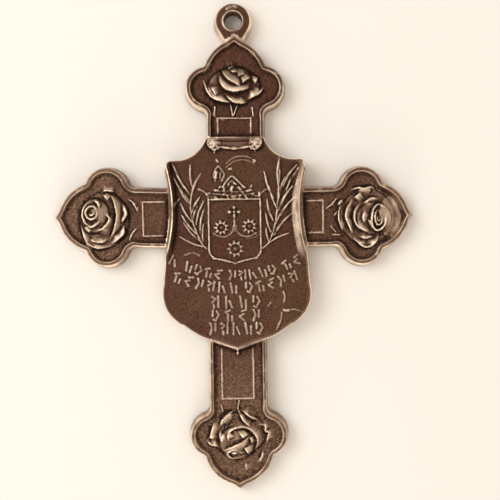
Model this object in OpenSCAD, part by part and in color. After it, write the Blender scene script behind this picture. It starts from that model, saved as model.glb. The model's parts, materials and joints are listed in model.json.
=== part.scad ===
// Small cast bronze pendant cross with trefoil ends, four roses and a shield.
// It lies on its flat back. +Y runs to the bail, +Z comes out of the face.

/* [Cross plate] */
// Width of the upright beam
upright_w = 6.55; // [5:0.05:7.5]
// Width of the two arms
arm_w = 6.85; // [5:0.05:7.5]
// From the crossing to the tip of the right arm
arm_reach = 20.1; // [18:0.05:25]
// How much farther the left arm reaches than the right one
left_more = 0.5; // [0:0.05:2]
// From the crossing to the tip of the head
head_reach = 20.7; // [19:0.1:26]
// From the crossing to the tip of the foot
foot_reach = 30.6; // [27:0.05:38]
// Thickness of the plate in its sunk field
field_t = 1.7; // [1.2:0.1:2.6]
// Rise of the rim above the field
rim_rise = 0.5; // [0.2:0.05:1]
// Width of the rim
rim_w = 0.65; // [0.3:0.05:0.9]

/* [Trefoil ends] */
// Radius of a side lobe
lobe_r = 2.58; // [2.1:0.02:3.1]
// From the beam's middle line to a side lobe's centre
lobe_out = 3.05; // [2.4:0.05:3.4]
// From the tip back to the side lobes' centres
lobe_back = 6.2; // [5.4:0.1:7]
// Radius of the pointed arch that forms a tip
shoulder_r = 4.66; // [4.2:0.02:4.9]
// From the middle line across to the centre of the arch's other side
shoulder_across = 0.53; // [0.3:0.01:0.9]
// From the tip back to the arch's centres
shoulder_back = 5.24; // [5.1:0.02:5.6]
// Fillet where a lobe runs into its beam
lobe_fillet = 0.9; // [0.5:0.1:1.4]

/* [Roses] */
// Radius of a rose across its outer petals
rose_r = 3.25; // [2.4:0.05:4]
// Rise of a rose above the field
rose_rise = 1.9; // [1:0.1:2.6]
// From the tip of an end back to the middle of its rose
rose_back = 6.1; // [5.6:0.1:6.6]
// How far the bud leans out towards the tip
bud_lean = 0.9; // [0:0.1:1.3]

/* [Panels on the beams] */
// Width of the thin raised lines
line_w = 0.22; // [0.15:0.01:0.4]
// Rise of the lines above the field
line_rise = 0.22; // [0.1:0.02:0.4]
// Gap between a beam's edge and the panel line beside it
panel_margin = 1.45; // [1:0.05:1.8]
// From an end's tip back to its panel line
panel_back = 10.2; // [9.6:0.1:12]

/* [Shield] */
// Height of the shield's face over the back
shield_t = 3.2; // [2.6:0.1:4.5]
// Rise of the rolled side rims above the face
roll_rise = 0.7; // [0.2:0.05:1.2]
// Width across the ears
ear_w = 15.5; // [13:0.1:19]
// Width at the waist
waist_w = 14.9; // [13:0.1:18]
// Width across the belly
belly_w = 16.8; // [14.5:0.1:21]
// From the crossing up to the top edge
shield_up = 9; // [7.8:0.1:10]
// From the crossing down to the lower point
shield_down = 14.7; // [12.5:0.1:18]
// Radius of the scroll rolled along the top edge
scroll_r = 0.85; // [0.5:0.05:1.2]

/* [Relief on the shield] */
// Rise of leaves, lines and strokes above the face
relief_rise = 0.25; // [0.1:0.05:0.5]
// Width of the small escutcheon
escutcheon_w = 5.7; // [4.5:0.1:7]
// Height of the small escutcheon
escutcheon_h = 7.1; // [6:0.1:8]
// Width of a stroke in the inscription's place
stroke_w = 0.24; // [0.15:0.01:0.35]

/* [Bail] */
// Radius of the eye
eye_r = 0.95; // [0.6:0.05:1.2]
// Outer radius of the bail round the eye
bail_r = 2.2; // [1.8:0.05:2.8]
// From the head's tip up to the eye's centre
eye_up = 1.25; // [1.2:0.05:2.5]
// Thickness of the bail
bail_t = 1.9; // [1.4:0.1:2.6]
// Width of the raised lip round the eye
lip_w = 0.28; // [0.15:0.01:0.5]
// Rise of the lip above the bail
lip_rise = 0.25; // [0.1:0.05:0.5]
// Width of the bail's neck at the head's tip
neck_w = 2.3; // [1.8:0.1:3.2]

/* [Hidden] */
$fn = 96;
bronze = "#6b4a38";
sink = 0.4;
crossing_x = left_more / 2;
eye_y = head_reach + eye_up;
crossing_y = (foot_reach - eye_y - bail_r) / 2;
rim_t = field_t + rim_rise;
lip_t = bail_t + lip_rise;

function arc(centre, r, from, to, steps) =
    [for (i = [0 : steps]) let (a = from + (to - from) * i / steps) centre + r * [cos(a), sin(a)]];
function flipped(points) = [for (i = [len(points) - 1 : -1 : 0]) [-points[i].x, points[i].y]];
function ease(t) = let (s = min(1, max(0, t))) s * s * (3 - 2 * s);

// ---- trefoil ends, each drawn with its tip at the origin and its beam below

shoulder_c = [-shoulder_across, -shoulder_back];
lobe_c = [lobe_out, -lobe_back];
gable_a = atan2(-shoulder_c.y, -shoulder_c.x) - acos(shoulder_r / norm(shoulder_c));
gable_n = [cos(gable_a), sin(gable_a)];

function angle_of(v) = atan2(v.y, v.x);
function turned(p, a) = [p.x * cos(a) - p.y * sin(a), p.x * sin(a) + p.y * cos(a)];
function rest(points) = [for (i = [1 : len(points) - 1]) points[i]];

// the outer point where two circles cross
function crossing(c1, r1, c2, r2) =
    let (between = c2 - c1, d = norm(between), along = (r1 * r1 - r2 * r2 + d * d) / (2 * d))
    c1 + along * between / d + sqrt(r1 * r1 - along * along) * [-between.y, between.x] / d;

// the notch between shoulder and lobe; set in, it turns into a small arc about this point
cusp = crossing(shoulder_c, shoulder_r, lobe_c, lobe_r);
notch_from = angle_of(shoulder_c - cusp);
notch_turn = (angle_of(lobe_c - cusp) - notch_from + 720) % 360;
function notch(inset) = inset > 0 ? rest(arc(cusp, inset, notch_from, notch_from + notch_turn, 3)) : [];

// from the tip over the shoulder and the lobe to the beam's edge, set in by inset
function half_end(beam_w, inset) =
    let (
        tip_y = (gable_n * shoulder_c + shoulder_r - inset) / gable_n.y,
        fillet_x = beam_w / 2 + lobe_fillet,
        fillet_y = -lobe_back - sqrt(pow(lobe_r + lobe_fillet, 2) - pow(fillet_x - lobe_out, 2)),
        fillet_c = [fillet_x, fillet_y],
        touch_a = angle_of(fillet_c - lobe_c)
    )
    concat(
        [[0, tip_y]],
        arc(shoulder_c, shoulder_r - inset, gable_a, angle_of(cusp - shoulder_c), 6),
        notch(inset),
        rest(arc(lobe_c, lobe_r - inset, angle_of(cusp - lobe_c), touch_a, 16)),
        rest(arc(fillet_c, lobe_fillet + inset, touch_a + 180, 180, 4))
    );

// one whole end from its left beam edge over the tip to its right one, then the corner at the crossing
function end_points(reach, turn, beam_w, next_w, inset) =
    let (
        right = half_end(beam_w, inset),
        whole = concat(flipped(right), rest(right)),
        corner = [beam_w / 2 - inset, next_w / 2 - inset]
    )
    concat([for (p = whole) turned([p.x, p.y + reach], turn)], [turned(corner, turn)]);

module cross_outline(inset) {
    polygon(concat(
        end_points(head_reach, 0, upright_w, arm_w, inset),
        end_points(arm_reach, -90, arm_w, upright_w, inset),
        end_points(foot_reach, 180, upright_w, arm_w, inset),
        end_points(arm_reach + left_more, 90, arm_w, upright_w, inset)
    ));
}

module at_end(reach, turn) {
    rotate([0, 0, turn]) translate([0, reach, 0]) children();
}

module plate() {
    color(bronze) difference() {
        linear_extrude(rim_t) cross_outline(0);
        translate([0, 0, field_t]) linear_extrude(rim_rise + sink) cross_outline(rim_w);
    }
}

// ---- thin lines that frame a panel on each beam

module panel(reach, beam_w, edge) {
    half_w = beam_w / 2 - panel_margin;
    length = reach - panel_back - edge + sink;
    translate([0, edge - sink, field_t - sink]) linear_extrude(sink + line_rise) difference() {
        translate([-half_w, 0]) square([2 * half_w, length]);
        translate([-half_w + line_w, -sink]) square([2 * (half_w - line_w), length - line_w + sink]);
    }
}

module panels() {
    under = waist_w / 2 - 1;
    color(bronze) {
        panel(head_reach, upright_w, shield_up - 1);
        rotate([0, 0, 90]) panel(arm_reach + left_more, arm_w, under);
        rotate([0, 0, 180]) panel(foot_reach, upright_w, shield_down - 2);
        rotate([0, 0, 270]) panel(arm_reach, arm_w, under);
    }
}

// ---- a rose: two whorls of cupped petals and a coiled bud, leaning out to the tip

rose_rings = 15;
rose_steps = 44;
rose_foot = -0.3;
rose_edge = 0.02;
bud_at = [0, bud_lean];
bud_r = 0.42 * rose_r;
coil_turn = 560;
coil_depth = 0.1;
petal_lip = 0.25;

function petal(p, centre, r, low, high) =
    let (d = norm(p - centre) / r)
    d < 1 ? low + (high - low) * d * d - petal_lip * ease((d - 0.82) / 0.18) : 0;

// [share of the bud's lean, distance out, petal radius, foot and edge as shares of the rise, turn]
outer_whorl = [0.15, 0.55 * rose_r, 0.44 * rose_r, 0.3, 0.6, 90];
inner_whorl = [0.75, 0.3 * rose_r, 0.37 * rose_r, 0.5, 0.82, 54];
petals = 5;
function whorl(p, row) =
    max([for (k = [0 : petals - 1])
        let (a = row[5] + 360 * k / petals, centre = row[0] * bud_at + row[1] * [cos(a), sin(a)])
        petal(p, centre, row[2], row[3] * rose_rise, row[4] * rose_rise)]);
function bud(p) =
    let (q = p - bud_at, d = norm(q) / bud_r, coil = sin(atan2(q.y, q.x) + coil_turn * d))
    d < 1 ? rose_rise * (1 - 0.22 * d * d * d) - coil_depth * (1 + coil) * ease(d * 3) : 0;
function skirt(p) = 0.25 * rose_rise * (1 - ease(norm(p) / rose_r * 4 - 3));
function rose_height(p) = max(skirt(p), whorl(p, outer_whorl), whorl(p, inner_whorl), bud(p));

module rose() {
    points = concat(
        [[0, 0, rose_height([0, 0])]],
        [for (i = [1 : rose_rings], j = [0 : rose_steps - 1])
            let (r = rose_r * i / rose_rings, a = 360 * j / rose_steps, p = r * [cos(a), sin(a)])
            [p.x, p.y, i == rose_rings ? rose_edge : max(rose_edge, rose_height(p))]],
        [for (j = [0 : rose_steps - 1])
            let (a = 360 * j / rose_steps) [rose_r * cos(a), rose_r * sin(a), rose_foot]],
        [[0, 0, rose_foot]]
    );
    function at(i, j) = 1 + (i - 1) * rose_steps + j % rose_steps;
    last = len(points) - 1;
    faces = concat(
        [for (j = [0 : rose_steps - 1]) [0, at(1, j + 1), at(1, j)]],
        [for (i = [1 : rose_rings], j = [0 : rose_steps - 1]) [at(i, j), at(i, j + 1), at(i + 1, j)]],
        [for (i = [1 : rose_rings], j = [0 : rose_steps - 1]) [at(i, j + 1), at(i + 1, j + 1), at(i + 1, j)]],
        [for (j = [0 : rose_steps - 1]) [last, at(rose_rings + 1, j), at(rose_rings + 1, j + 1)]]
    );
    polyhedron(points, faces);
}

module roses() {
    color(bronze) {
        at_end(head_reach, 0) translate([0, -rose_back, field_t]) rose();
        at_end(arm_reach + left_more, 90) translate([0, -rose_back, field_t]) rose();
        at_end(foot_reach, 180) translate([0, -rose_back, field_t]) rose();
        at_end(arm_reach, 270) translate([0, -rose_back, field_t]) rose();
    }
}

// ---- the shield: eared top, hollow waist, round belly, rims rolled forward at the sides

corner_x = 3.25;
corner_r = 3.3;
corner_up = 0.9;
ear_r = 0.62;
ear_y = 5.95;
ear_gap = 0.68;
waist_r = 17;
waist_y = 1;
belly_r = 4.1;
belly_y = 6.4 - shield_down;
hem_rise = 0.75;

// the right half from the top corner round to the lower point, set in by inset
function half_shield(inset) =
    let (
        sharp = max(0.2, ear_r - inset),
        ear_in = inset + sharp - ear_r,
        top_a = 180 + asin((corner_up + inset) / (corner_r + inset)),
        side_a = 180 - asin((ear_y - waist_y - ear_gap - 1.1 * inset) / (waist_r + inset))
    )
    concat(
        arc([corner_x + corner_r, shield_up + corner_up], corner_r + inset, top_a, 262, 8),
        arc([ear_w / 2 - ear_r - ear_in, ear_y - ear_in], sharp, 95, -5, 4),
        arc([waist_w / 2 + waist_r, waist_y], waist_r + inset, side_a, 194, 9),
        arc([belly_w / 2 - belly_r, belly_y], belly_r - inset, 14, -66, 10),
        [
            [belly_w / 4, 2 * hem_rise - shield_down + inset],
            [belly_w / 8, hem_rise - shield_down + inset],
            [0, 1.05 * inset - shield_down],
        ]
    );
function shield_points(inset) =
    let (right = half_shield(inset), left = flipped(right), clockwise = concat(right, rest(left)))
    [for (i = [len(clockwise) - 1 : -1 : 0]) clockwise[i]];

// how much of the side roll stands at height y: all of it above the belly, none at the hem
function roll_at(y) = ease((y - belly_y) / 5) * (1 - 0.6 * ease((y - ear_y + 0.5) / 2));

// [inset, share of the roll's rise] from the outer edge over the crest to the face
shield_profile = [[0, -0.9], [0.12, -0.1], [0.35, 1], [0.7, 0.95], [1.15, 0.3], [1.45, 0]];

module shield_body() {
    edge = [for (p = shield_points(0)) [p.x, p.y, 0]];
    rings = [for (row = shield_profile) [for (p = shield_points(row[0]))
        [p.x, p.y, shield_t + row[1] * (row[1] < 0 ? roll_rise : roll_rise * roll_at(p.y))]]];
    middle = [0, -shield_down / 4];
    middles = [[middle.x, middle.y, 0], [middle.x, middle.y, shield_t]];
    points = concat(edge, [for (ring = rings) each ring], middles);
    count = len(edge);
    tiers = len(shield_profile);
    last = len(points) - 1;
    faces = concat(
        [for (i = [0 : count - 1]) [last - 1, i, (i + 1) % count]],
        [for (k = [0 : tiers - 1], i = [0 : count - 1])
            [k * count + i, (k + 1) * count + i, (k + 1) * count + (i + 1) % count]],
        [for (k = [0 : tiers - 1], i = [0 : count - 1])
            [k * count + i, (k + 1) * count + (i + 1) % count, k * count + (i + 1) % count]],
        [for (i = [0 : count - 1]) [last, tiers * count + (i + 1) % count, tiers * count + i]]
    );
    polyhedron(points, faces);
}

module scroll() {
    length = 2 * corner_x - scroll_r;
    y = shield_up - scroll_r;
    z = shield_t + 0.35 * scroll_r;
    translate([-length / 2, y, z]) rotate([0, 90, 0]) cylinder(r = 0.8 * scroll_r, h = length);
    for (side = [-1, 1])
        translate([side * (corner_x - scroll_r), y, z]) sphere(r = scroll_r);
}

module shield() {
    color(bronze) {
        shield_body();
        scroll();
    }
}

// ---- relief on the shield's face

low_z = shield_t - sink;
crest = sink + relief_rise;
escutcheon_top = 2;
escutcheon_line = 0.2;

function escutcheon_points(inset) =
    let (
        w = escutcheon_w / 2 - inset,
        base = escutcheon_top - escutcheon_h,
        corner = arc([w - 1, base + 1.5], 1, 0, -75, 5),
        right = concat([[w, escutcheon_top - inset]], corner, [[0, base + inset]])
    )
    concat(right, rest(flipped(right)));

module ridge_line(from, to, w) {
    along = to - from;
    translate([from.x, from.y, low_z]) rotate([0, 0, atan2(along.y, along.x)])
        translate([0, -w / 2, 0]) cube([norm(along), w, crest]);
}

module leaf(base, tip, w) {
    along = tip - base;
    length = norm(along);
    wide = 0.35 * length;
    narrow = 0.7 * length;
    right = [[wide, -w / 2], [narrow, -0.4 * w]];
    left = [[narrow, 0.4 * w], [wide, w / 2]];
    outline = concat([[0, 0]], right, [[length, 0]], left);
    rib = [[wide, 0, crest], [0.8 * length, 0, 0.9 * crest]];
    points = concat([for (p = outline) [p.x, p.y, 0]], rib);
    bottom = [0, 1, 2, 3, 4, 5];
    right_faces = [[0, 6, 1], [1, 6, 7], [1, 7, 2], [2, 7, 3]];
    left_faces = [[3, 7, 4], [4, 7, 5], [5, 7, 6], [5, 6, 0]];
    translate([base.x, base.y, low_z]) rotate([0, 0, atan2(along.y, along.x)])
        polyhedron(points, concat([bottom], right_faces, left_faces));
}

module ring(centre, r, w) {
    translate([centre.x, centre.y, low_z]) difference() {
        cylinder(r = r, h = crest);
        translate([0, 0, -sink]) cylinder(r = r - w, h = crest + 2 * sink);
    }
}

module bead(centre, r) {
    translate([centre.x, centre.y, shield_t + relief_rise - 0.8 * r]) sphere(r = r);
}

module escutcheon() {
    w = escutcheon_w / 2;
    base = escutcheon_top - escutcheon_h;
    translate([0, 0, low_z]) linear_extrude(crest) difference() {
        polygon(escutcheon_points(0));
        polygon(escutcheon_points(escutcheon_line));
    }
    // a small cross over a chevron, with three rosette rings
    ridge_line([0, escutcheon_top - 2.2], [0, escutcheon_top - 0.7], 0.3);
    ridge_line([-0.7, escutcheon_top - 1.3], [0.7, escutcheon_top - 1.3], 0.3);
    for (side = [-1, 1]) {
        ridge_line([side * (w - 0.5), base + 2.9], [0, base + 4.1], 0.22);
        ring([side * 0.53 * w, escutcheon_top - 3.1], 0.62, 0.3);
    }
    ring([0, base + 1.75], 0.7, 0.34);
}

module coronet() {
    half = 0.4 * escutcheon_w;
    foot = escutcheon_top + 0.35;
    translate([-half, foot, low_z]) cube([2 * half, 0.5, crest]);
    for (k = [-2 : 2]) {
        x = 0.46 * half * k;
        leaf([x, foot], [1.15 * x, foot + 1.9 - 0.15 * abs(k)], 0.75);
        bead([1.15 * x, foot + 1.95 - 0.15 * abs(k)], 0.3);
    }
    // a plain arched ribbon over it
    translate([0.4, foot + 2.6, low_z]) rotate([0, 0, 15]) rotate_extrude(angle = 150)
        translate([1.55, 0]) square([0.3, crest]);
}

branch_leaves = 7;
stem_base = [3.1, -3.3];
stem_w = 0.2;
outer_leaf_w = 0.42;
inner_leaf_w = 0.36;
leaf_limit = [waist_w / 2 - 1.3, 6.2];
function stem_at(t) = stem_base + [1.9 * sin(95 * t), 8.6 * t];
function mirrored(p, side) = [side * p.x, p.y];

module branch(side) {
    steps = 6;
    for (i = [0 : steps - 1])
        ridge_line(mirrored(stem_at(i / steps), side), mirrored(stem_at((i + 1) / steps), side), stem_w);
    for (i = [0 : branch_leaves - 1]) {
        t = 0.04 + 0.13 * i;
        foot = stem_at(t);
        out_tip = foot + [1.35 + 0.1 * sin(180 * t), 1.5 + 1.3 * t];
        in_tip = foot + [-0.5 + 0.25 * t, 2];
        out_end = [min(out_tip.x, leaf_limit.x), min(out_tip.y, leaf_limit.y)];
        leaf(mirrored(foot, side), mirrored(out_end, side), outer_leaf_w);
        if (i > 0 && i < branch_leaves - 1)
            leaf(mirrored(foot, side), mirrored([max(in_tip.x, 3.2), in_tip.y], side), inner_leaf_w);
    }
}

// [number of marks, width of the row, how much it sags, height above the lower point, height of a mark]
stroke_rows = [
    [12, belly_w - 3.2, 1.7, 8.3, 0.95],
    [11, belly_w - 3.8, 1.25, 6.95, 1],
    [4, 4.7, 0, 5.4, 1.2],
    [4, 4.7, 0, 4, 1.15],
    [5, 5.4, 0, 2.5, 1.2],
];

long_bar_x = -0.32;
short_bar_x = 0.12;

module strokes() {
    for (row = stroke_rows) {
        last = row[0] - 1;
        tall = row[4];
        for (i = [0 : last]) {
            across = 2 * i / last - 1;
            x = across * row[1] / 2;
            y = -shield_down + row[3] + row[2] * across * across;
            short_y = (i % 2 - 1.5) * tall / 3;
            translate([x, y, low_z]) rotate([0, 0, atan(4 * row[2] * across / row[1])]) {
                translate([long_bar_x, -tall / 2, 0]) cube([stroke_w, tall, crest]);
                translate([short_bar_x, short_y, 0]) cube([stroke_w, 2 * tall / 3, crest]);
            }
        }
    }
}

module shield_relief() {
    color(bronze) {
        escutcheon();
        coronet();
        branch(-1);
        branch(1);
        strokes();
    }
}

// ---- the bail: a flat drop with a lipped eye, cast on the head's tip

module bail_outline() {
    reach = eye_up + 1.2;
    lean = asin((bail_r - neck_w / 2) / reach);
    translate([0, eye_y]) circle(r = bail_r);
    polygon([
        [-bail_r * cos(lean), eye_y - bail_r * sin(lean)], [-neck_w / 2, eye_y - reach],
        [neck_w / 2, eye_y - reach], [bail_r * cos(lean), eye_y - bail_r * sin(lean)],
    ]);
}

module bail() {
    color(bronze) {
        linear_extrude(bail_t) bail_outline();
        translate([0, eye_y, 0]) cylinder(r = eye_r + lip_w, h = lip_t);
    }
}

module eye_bore() {
    translate([0, eye_y, -1]) cylinder(r = eye_r, h = lip_t + 2);
}

module pendant_cross() {
    color(bronze) translate([crossing_x, crossing_y, 0]) difference() {
        union() {
            plate();
            panels();
            roses();
            shield();
            shield_relief();
            bail();
        }
        eye_bore();
    }
}

pendant_cross();
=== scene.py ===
# %% [markdown]
# # A small cast bronze pendant cross
#
# This lesson dresses a imported solid of a 55 mm pendant cross. The real one is a single bronze
# casting: a flat cross with trefoil ends, a raised rim, a rose on each end and a shield over the
# crossing. Everything on its face is low relief, so the whole face can be described by one number
# at each place: how high the metal stands there. We build that height from the same sizes that
# the solid has, turn it into one closed mesh, and then give it a patina that is rubbed bright
# wherever fingers reach, with highlights and paler patches painted on where it faces the lamps.

import json
import math

import bpy
import numpy as np
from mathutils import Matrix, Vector
from mathutils.geometry import delaunay_2d_cdt


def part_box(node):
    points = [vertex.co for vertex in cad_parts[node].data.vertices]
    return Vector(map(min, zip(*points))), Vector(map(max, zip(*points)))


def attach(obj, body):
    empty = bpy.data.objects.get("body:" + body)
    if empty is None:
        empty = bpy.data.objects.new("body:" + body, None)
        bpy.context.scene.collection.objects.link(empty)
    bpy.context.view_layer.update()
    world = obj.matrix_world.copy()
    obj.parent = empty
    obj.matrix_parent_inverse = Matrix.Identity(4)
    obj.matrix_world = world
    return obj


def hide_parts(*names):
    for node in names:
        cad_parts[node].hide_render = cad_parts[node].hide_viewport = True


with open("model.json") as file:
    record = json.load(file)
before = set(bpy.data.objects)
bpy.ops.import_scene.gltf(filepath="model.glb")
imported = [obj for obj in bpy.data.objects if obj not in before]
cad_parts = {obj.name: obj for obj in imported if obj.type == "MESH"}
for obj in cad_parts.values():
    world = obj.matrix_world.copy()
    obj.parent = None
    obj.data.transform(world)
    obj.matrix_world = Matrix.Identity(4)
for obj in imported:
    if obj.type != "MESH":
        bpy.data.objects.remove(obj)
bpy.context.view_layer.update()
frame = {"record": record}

# %% [markdown]
# ## Sizes
#
# We work in millimetres with the origin where the beams cross, because that is how a caster would
# lay the pattern out. The arms' reaches come from the solid's own box, the crossing sits a given
# foot's reach above the box's lower edge, and the eye comes from the record's mount, so the mesh
# can't drift from the solid. The head's reach is given, and the smaller sizes repeat the ones that
# the solid was drawn with.

# %% Sizes in millimetres
MM = 0.001
low, high = (np.array(corner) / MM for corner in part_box("pendant_cross"))
eye_mount = frame["record"]["mounts"][0]
FOOT_REACH = 30.6
EYE_X, EYE_Y = np.array(eye_mount["pos_m"][:2]) / MM
CROSSING = np.array([EYE_X, low[1] + FOOT_REACH])
EYE = np.array([0.0, EYE_Y - CROSSING[1]])
EYE_R = eye_mount["dims"]["r_mm"]
LEFT_REACH, RIGHT_REACH = CROSSING[0] - low[0], high[0] - CROSSING[0]
HEAD_REACH = 20.7
UPRIGHT_W = 6.55
ARM_W = 6.85
FIELD_T = 1.7
SHIELD_T = 3.2
TOP_Z = high[2] - 0.02
print("crossing at", CROSSING, "eye at", EYE, "arms", LEFT_REACH, RIGHT_REACH)

# %% [markdown]
# ## Curves
#
# Three small tools draw every outline: an arc of points, a turn about the origin, and a smooth
# curve through a few given points. The smooth curve is a Catmull-Rom spline, which passes
# through its points, so a petal's edge can be placed by eye and still run smoothly.


# %% Curve helpers
def arc(centre, r, start, end, steps):
    a = np.radians(np.linspace(start, end, steps + 1))
    return np.array(centre) + r * np.column_stack([np.cos(a), np.sin(a)])


def turned(points, degrees):
    c, s = math.cos(math.radians(degrees)), math.sin(math.radians(degrees))
    return np.asarray(points) @ np.array([[c, s], [-s, c]])


def flipped(points):
    return np.asarray(points)[::-1] * [-1, 1]


def angle_of(v):
    return math.degrees(math.atan2(v[1], v[0]))


def even(points, step, closed=False):
    """The same polyline with its points evenly spaced, about one every step."""
    p = np.vstack([points, points[:1]]) if closed else np.asarray(points, float)
    run = np.concatenate([[0], np.cumsum(np.hypot(*np.diff(p, axis=0).T))])
    n = max(2, int(round(run[-1] / step)))
    at = np.linspace(0, run[-1], n + 1)
    q = np.column_stack([np.interp(at, run, p[:, 0]), np.interp(at, run, p[:, 1])])
    return q[:-1] if closed else q


def spline(points, per=8):
    """A smooth curve through the points."""
    p = np.asarray(points, float)
    if len(p) < 3:
        return p
    p = np.vstack([2 * p[0] - p[1], p, 2 * p[-1] - p[-2]])
    t = np.linspace(0, 1, per, endpoint=False)[:, None]
    parts = [
        0.5 * (2 * b + (c - a) * t + (2 * a - 5 * b + 4 * c - d) * t**2 + (3 * b - a - 3 * c + d) * t**3)
        for a, b, c, d in zip(p, p[1:], p[2:], p[3:])
    ]
    return np.vstack(parts + [p[-2:-1]])


# %% [markdown]
# ## The three outlines
#
# Seen from above, the casting is the union of three shapes: the cross with its trefoil ends, the
# shield, and the drop-shaped bail. Each trefoil is two side lobes and a pair of shoulders under a
# gable, with a small fillet where a lobe runs into its beam. Drawing it with circles, and not
# with traced points, keeps the curves fair and the four ends alike.

# %% The cross
LOBE_R, LOBE_FILLET = 2.58, 0.9
# each side of a tip is an arc whose centre lies across the middle line: (centre, radius)
ARCH = ((-0.53, -5.24), 4.66)
HEAD_ARCH = ((-0.9, -5.3), 4.75)
# the small nib that ends each tip, and how far aside the arc takes over from it
NIB = [[0, 0], [0.1, -0.2], [0.3, -0.42], [0.62, -0.65]]
NIB_W = 1.05


def half_end(beam_w, lobe, arch):
    """From an end's tip, at the origin, over its right shoulder and lobe to the beam below."""
    shoulder, r = np.array(arch[0]), arch[1]
    gap = lobe - shoulder
    reach = np.hypot(*gap)
    on_line = (r**2 - LOBE_R**2 + reach**2) / (2 * reach)
    off_line = math.sqrt(r**2 - on_line**2)
    cusp = shoulder + (on_line * gap + off_line * np.array([-gap[1], gap[0]])) / reach
    fillet_x = beam_w / 2 + LOBE_FILLET
    drop = math.sqrt((LOBE_R + LOBE_FILLET) ** 2 - (fillet_x - lobe[0]) ** 2)
    fillet = np.array([fillet_x, lobe[1] - drop])
    touch = angle_of(fillet - lobe)
    start = math.degrees(math.acos((NIB_W - shoulder[0]) / r))
    return np.vstack([
        NIB,
        arc(shoulder, r, start, angle_of(cusp - shoulder), 16),
        arc(lobe, LOBE_R, angle_of(cusp - lobe), touch, 30)[1:],
        arc(fillet, LOBE_FILLET, touch + 180, 180, 8)[1:],
    ])


def whole_end(reach, turn, beam_w, lobe, aside, corner, arch=ARCH):
    """One trefoil end, its beam turned to point that way, and the inner corner that follows it."""
    right = half_end(beam_w, np.array(lobe), arch)
    outline = turned(np.vstack([flipped(right), right[1:]]) + [aside, reach], turn)
    return np.vstack([outline, corner])


# the arms stand a little high and not quite square to the upright, as they do on the real one
SKEW = 0.45
half_u, half_a = UPRIGHT_W / 2, ARM_W / 2
cross_line = np.vstack([
    whole_end(HEAD_REACH, 0, UPRIGHT_W, (3.1, -6.2), 0.1, [[half_u, half_a]], HEAD_ARCH),
    whole_end(RIGHT_REACH, -90 - SKEW, ARM_W, (3.05, -6.1), -0.14, [[half_u, -half_a]]),
    whole_end(FOOT_REACH, 180, UPRIGHT_W, (2.98, -6.4), 0.05, [[-half_u, -half_a]]),
    whole_end(LEFT_REACH, 90 - SKEW, ARM_W, (3.1, -6.2), 0.18, [[-half_u, half_a]]),
])[::-1]
print("cross outline:", len(cross_line), "points")

# %% [markdown]
# ## The shield's outline
#
# The shield covers the crossing and sticks out past both beams. Its right half is five pieces: a
# hollow notch, a small round ear, a long waist that bends inwards, a round belly and a hem that runs
# down to the point. Mirroring that half gives the left one. The waist is also kept as a line by
# itself, because the shield's rolled rim follows only that side.

# %% The shield
EAR_W, WAIST_W, BELLY_W = 15.5, 14.9, 16.8
SHIELD_UP, SHIELD_DOWN = 9.0, 14.7
BELLY_R, BELLY_Y = 4.1, 6.4 - SHIELD_DOWN
EAR_R, EAR_Y = 0.62, 5.95
WAIST_R, WAIST_Y = 17, 1
NOTCH, NOTCH_R = [6.55, SHIELD_UP + 0.9], 3.3


def waist(start, end, steps):
    return arc([WAIST_W / 2 + WAIST_R, WAIST_Y], WAIST_R, start, end, steps)


def half_shield():
    """The right half, from the top edge over the ear, waist and belly down to the point."""
    hem = [[BELLY_W / 4, 1.5 - SHIELD_DOWN], [BELLY_W / 8, 0.72 - SHIELD_DOWN], [0, -SHIELD_DOWN]]
    return np.vstack([
        arc(NOTCH, NOTCH_R, 195.8, 262, 16),
        arc([EAR_W / 2 - EAR_R, EAR_Y], EAR_R, 95, -5, 8),
        waist(165.6, 194, 24),
        arc([BELLY_W / 2 - BELLY_R, BELLY_Y], BELLY_R, 14, -66, 20),
        spline([[5.97, -12.05]] + hem)[1:],
    ])


shield_line = np.vstack([half_shield(), flipped(half_shield())[1:]])[::-1]
shield_side = waist(161, 196, 30)
print("shield outline:", len(shield_line), "points")

# %% [markdown]
# ## The bail's outline
#
# The bail is a drop: most of a circle round the eye, and two straight sides that close in to a neck.
# The angle at which they touch the circle follows from its radius and the neck's width. The neck
# runs on a little way into the cross, so that the two outlines overlap and merge.

# %% The bail
BAIL_R, BAIL_T = 2.19, 1.9
NECK_W, NECK_DROP, NECK_END = 2.2, 2.4, 2.6
lean = math.degrees(math.asin((BAIL_R - NECK_W / 2) / NECK_DROP))
bail_line = np.vstack([
    arc(EYE, BAIL_R, -lean, 180 + lean, 60),
    [EYE + [-NECK_W / 2, -NECK_DROP], EYE + [-NECK_W / 2, -NECK_END]],
    [EYE + [NECK_W / 2, -NECK_END], EYE + [NECK_W / 2, -NECK_DROP]],
])
EYE_STEPS = 64
eye_line = arc(EYE, EYE_R, 0, 360, EYE_STEPS)[:-1]
print("bail outline:", len(bail_line), "points, eye", 2 * EYE_R, "mm across")

# %% [markdown]
# ## How far is a place from a line?
#
# A rim, a bead, a leaf's rib and a petal's fold all ask the same question of every place on the
# face: how far is it to that line, and on which side? `from_line` answers it for open lines and
# `inside` for closed ones, where a positive answer lies inside. Both work on whole arrays at once,
# one segment at a time, which is fast enough for a hundred thousand places.


# %% Distance helpers
def from_line(points, line):
    """Distance to the line, its sign (above 0 to the line's left) and the share of its length."""
    run = np.concatenate([[0], np.cumsum(np.hypot(*np.diff(line, axis=0).T))])
    best = np.full(len(points), np.inf)
    side, share = np.ones(len(points)), np.zeros(len(points))
    for k, (a, b) in enumerate(zip(line, line[1:])):
        along = b - a
        length = np.hypot(*along)
        if length < 1e-9:
            continue
        away = points - a
        t = np.clip(away @ along / length**2, 0, 1)
        d = np.hypot(away[:, 0] - t * along[0], away[:, 1] - t * along[1])
        closer = d < best
        best[closer] = d[closer]
        turn = along[0] * away[:, 1] - along[1] * away[:, 0]
        side[closer] = np.where(turn[closer] < 0, -1, 1)
        share[closer] = (run[k] + t[closer] * length) / run[-1]
    return best, side, share


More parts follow.
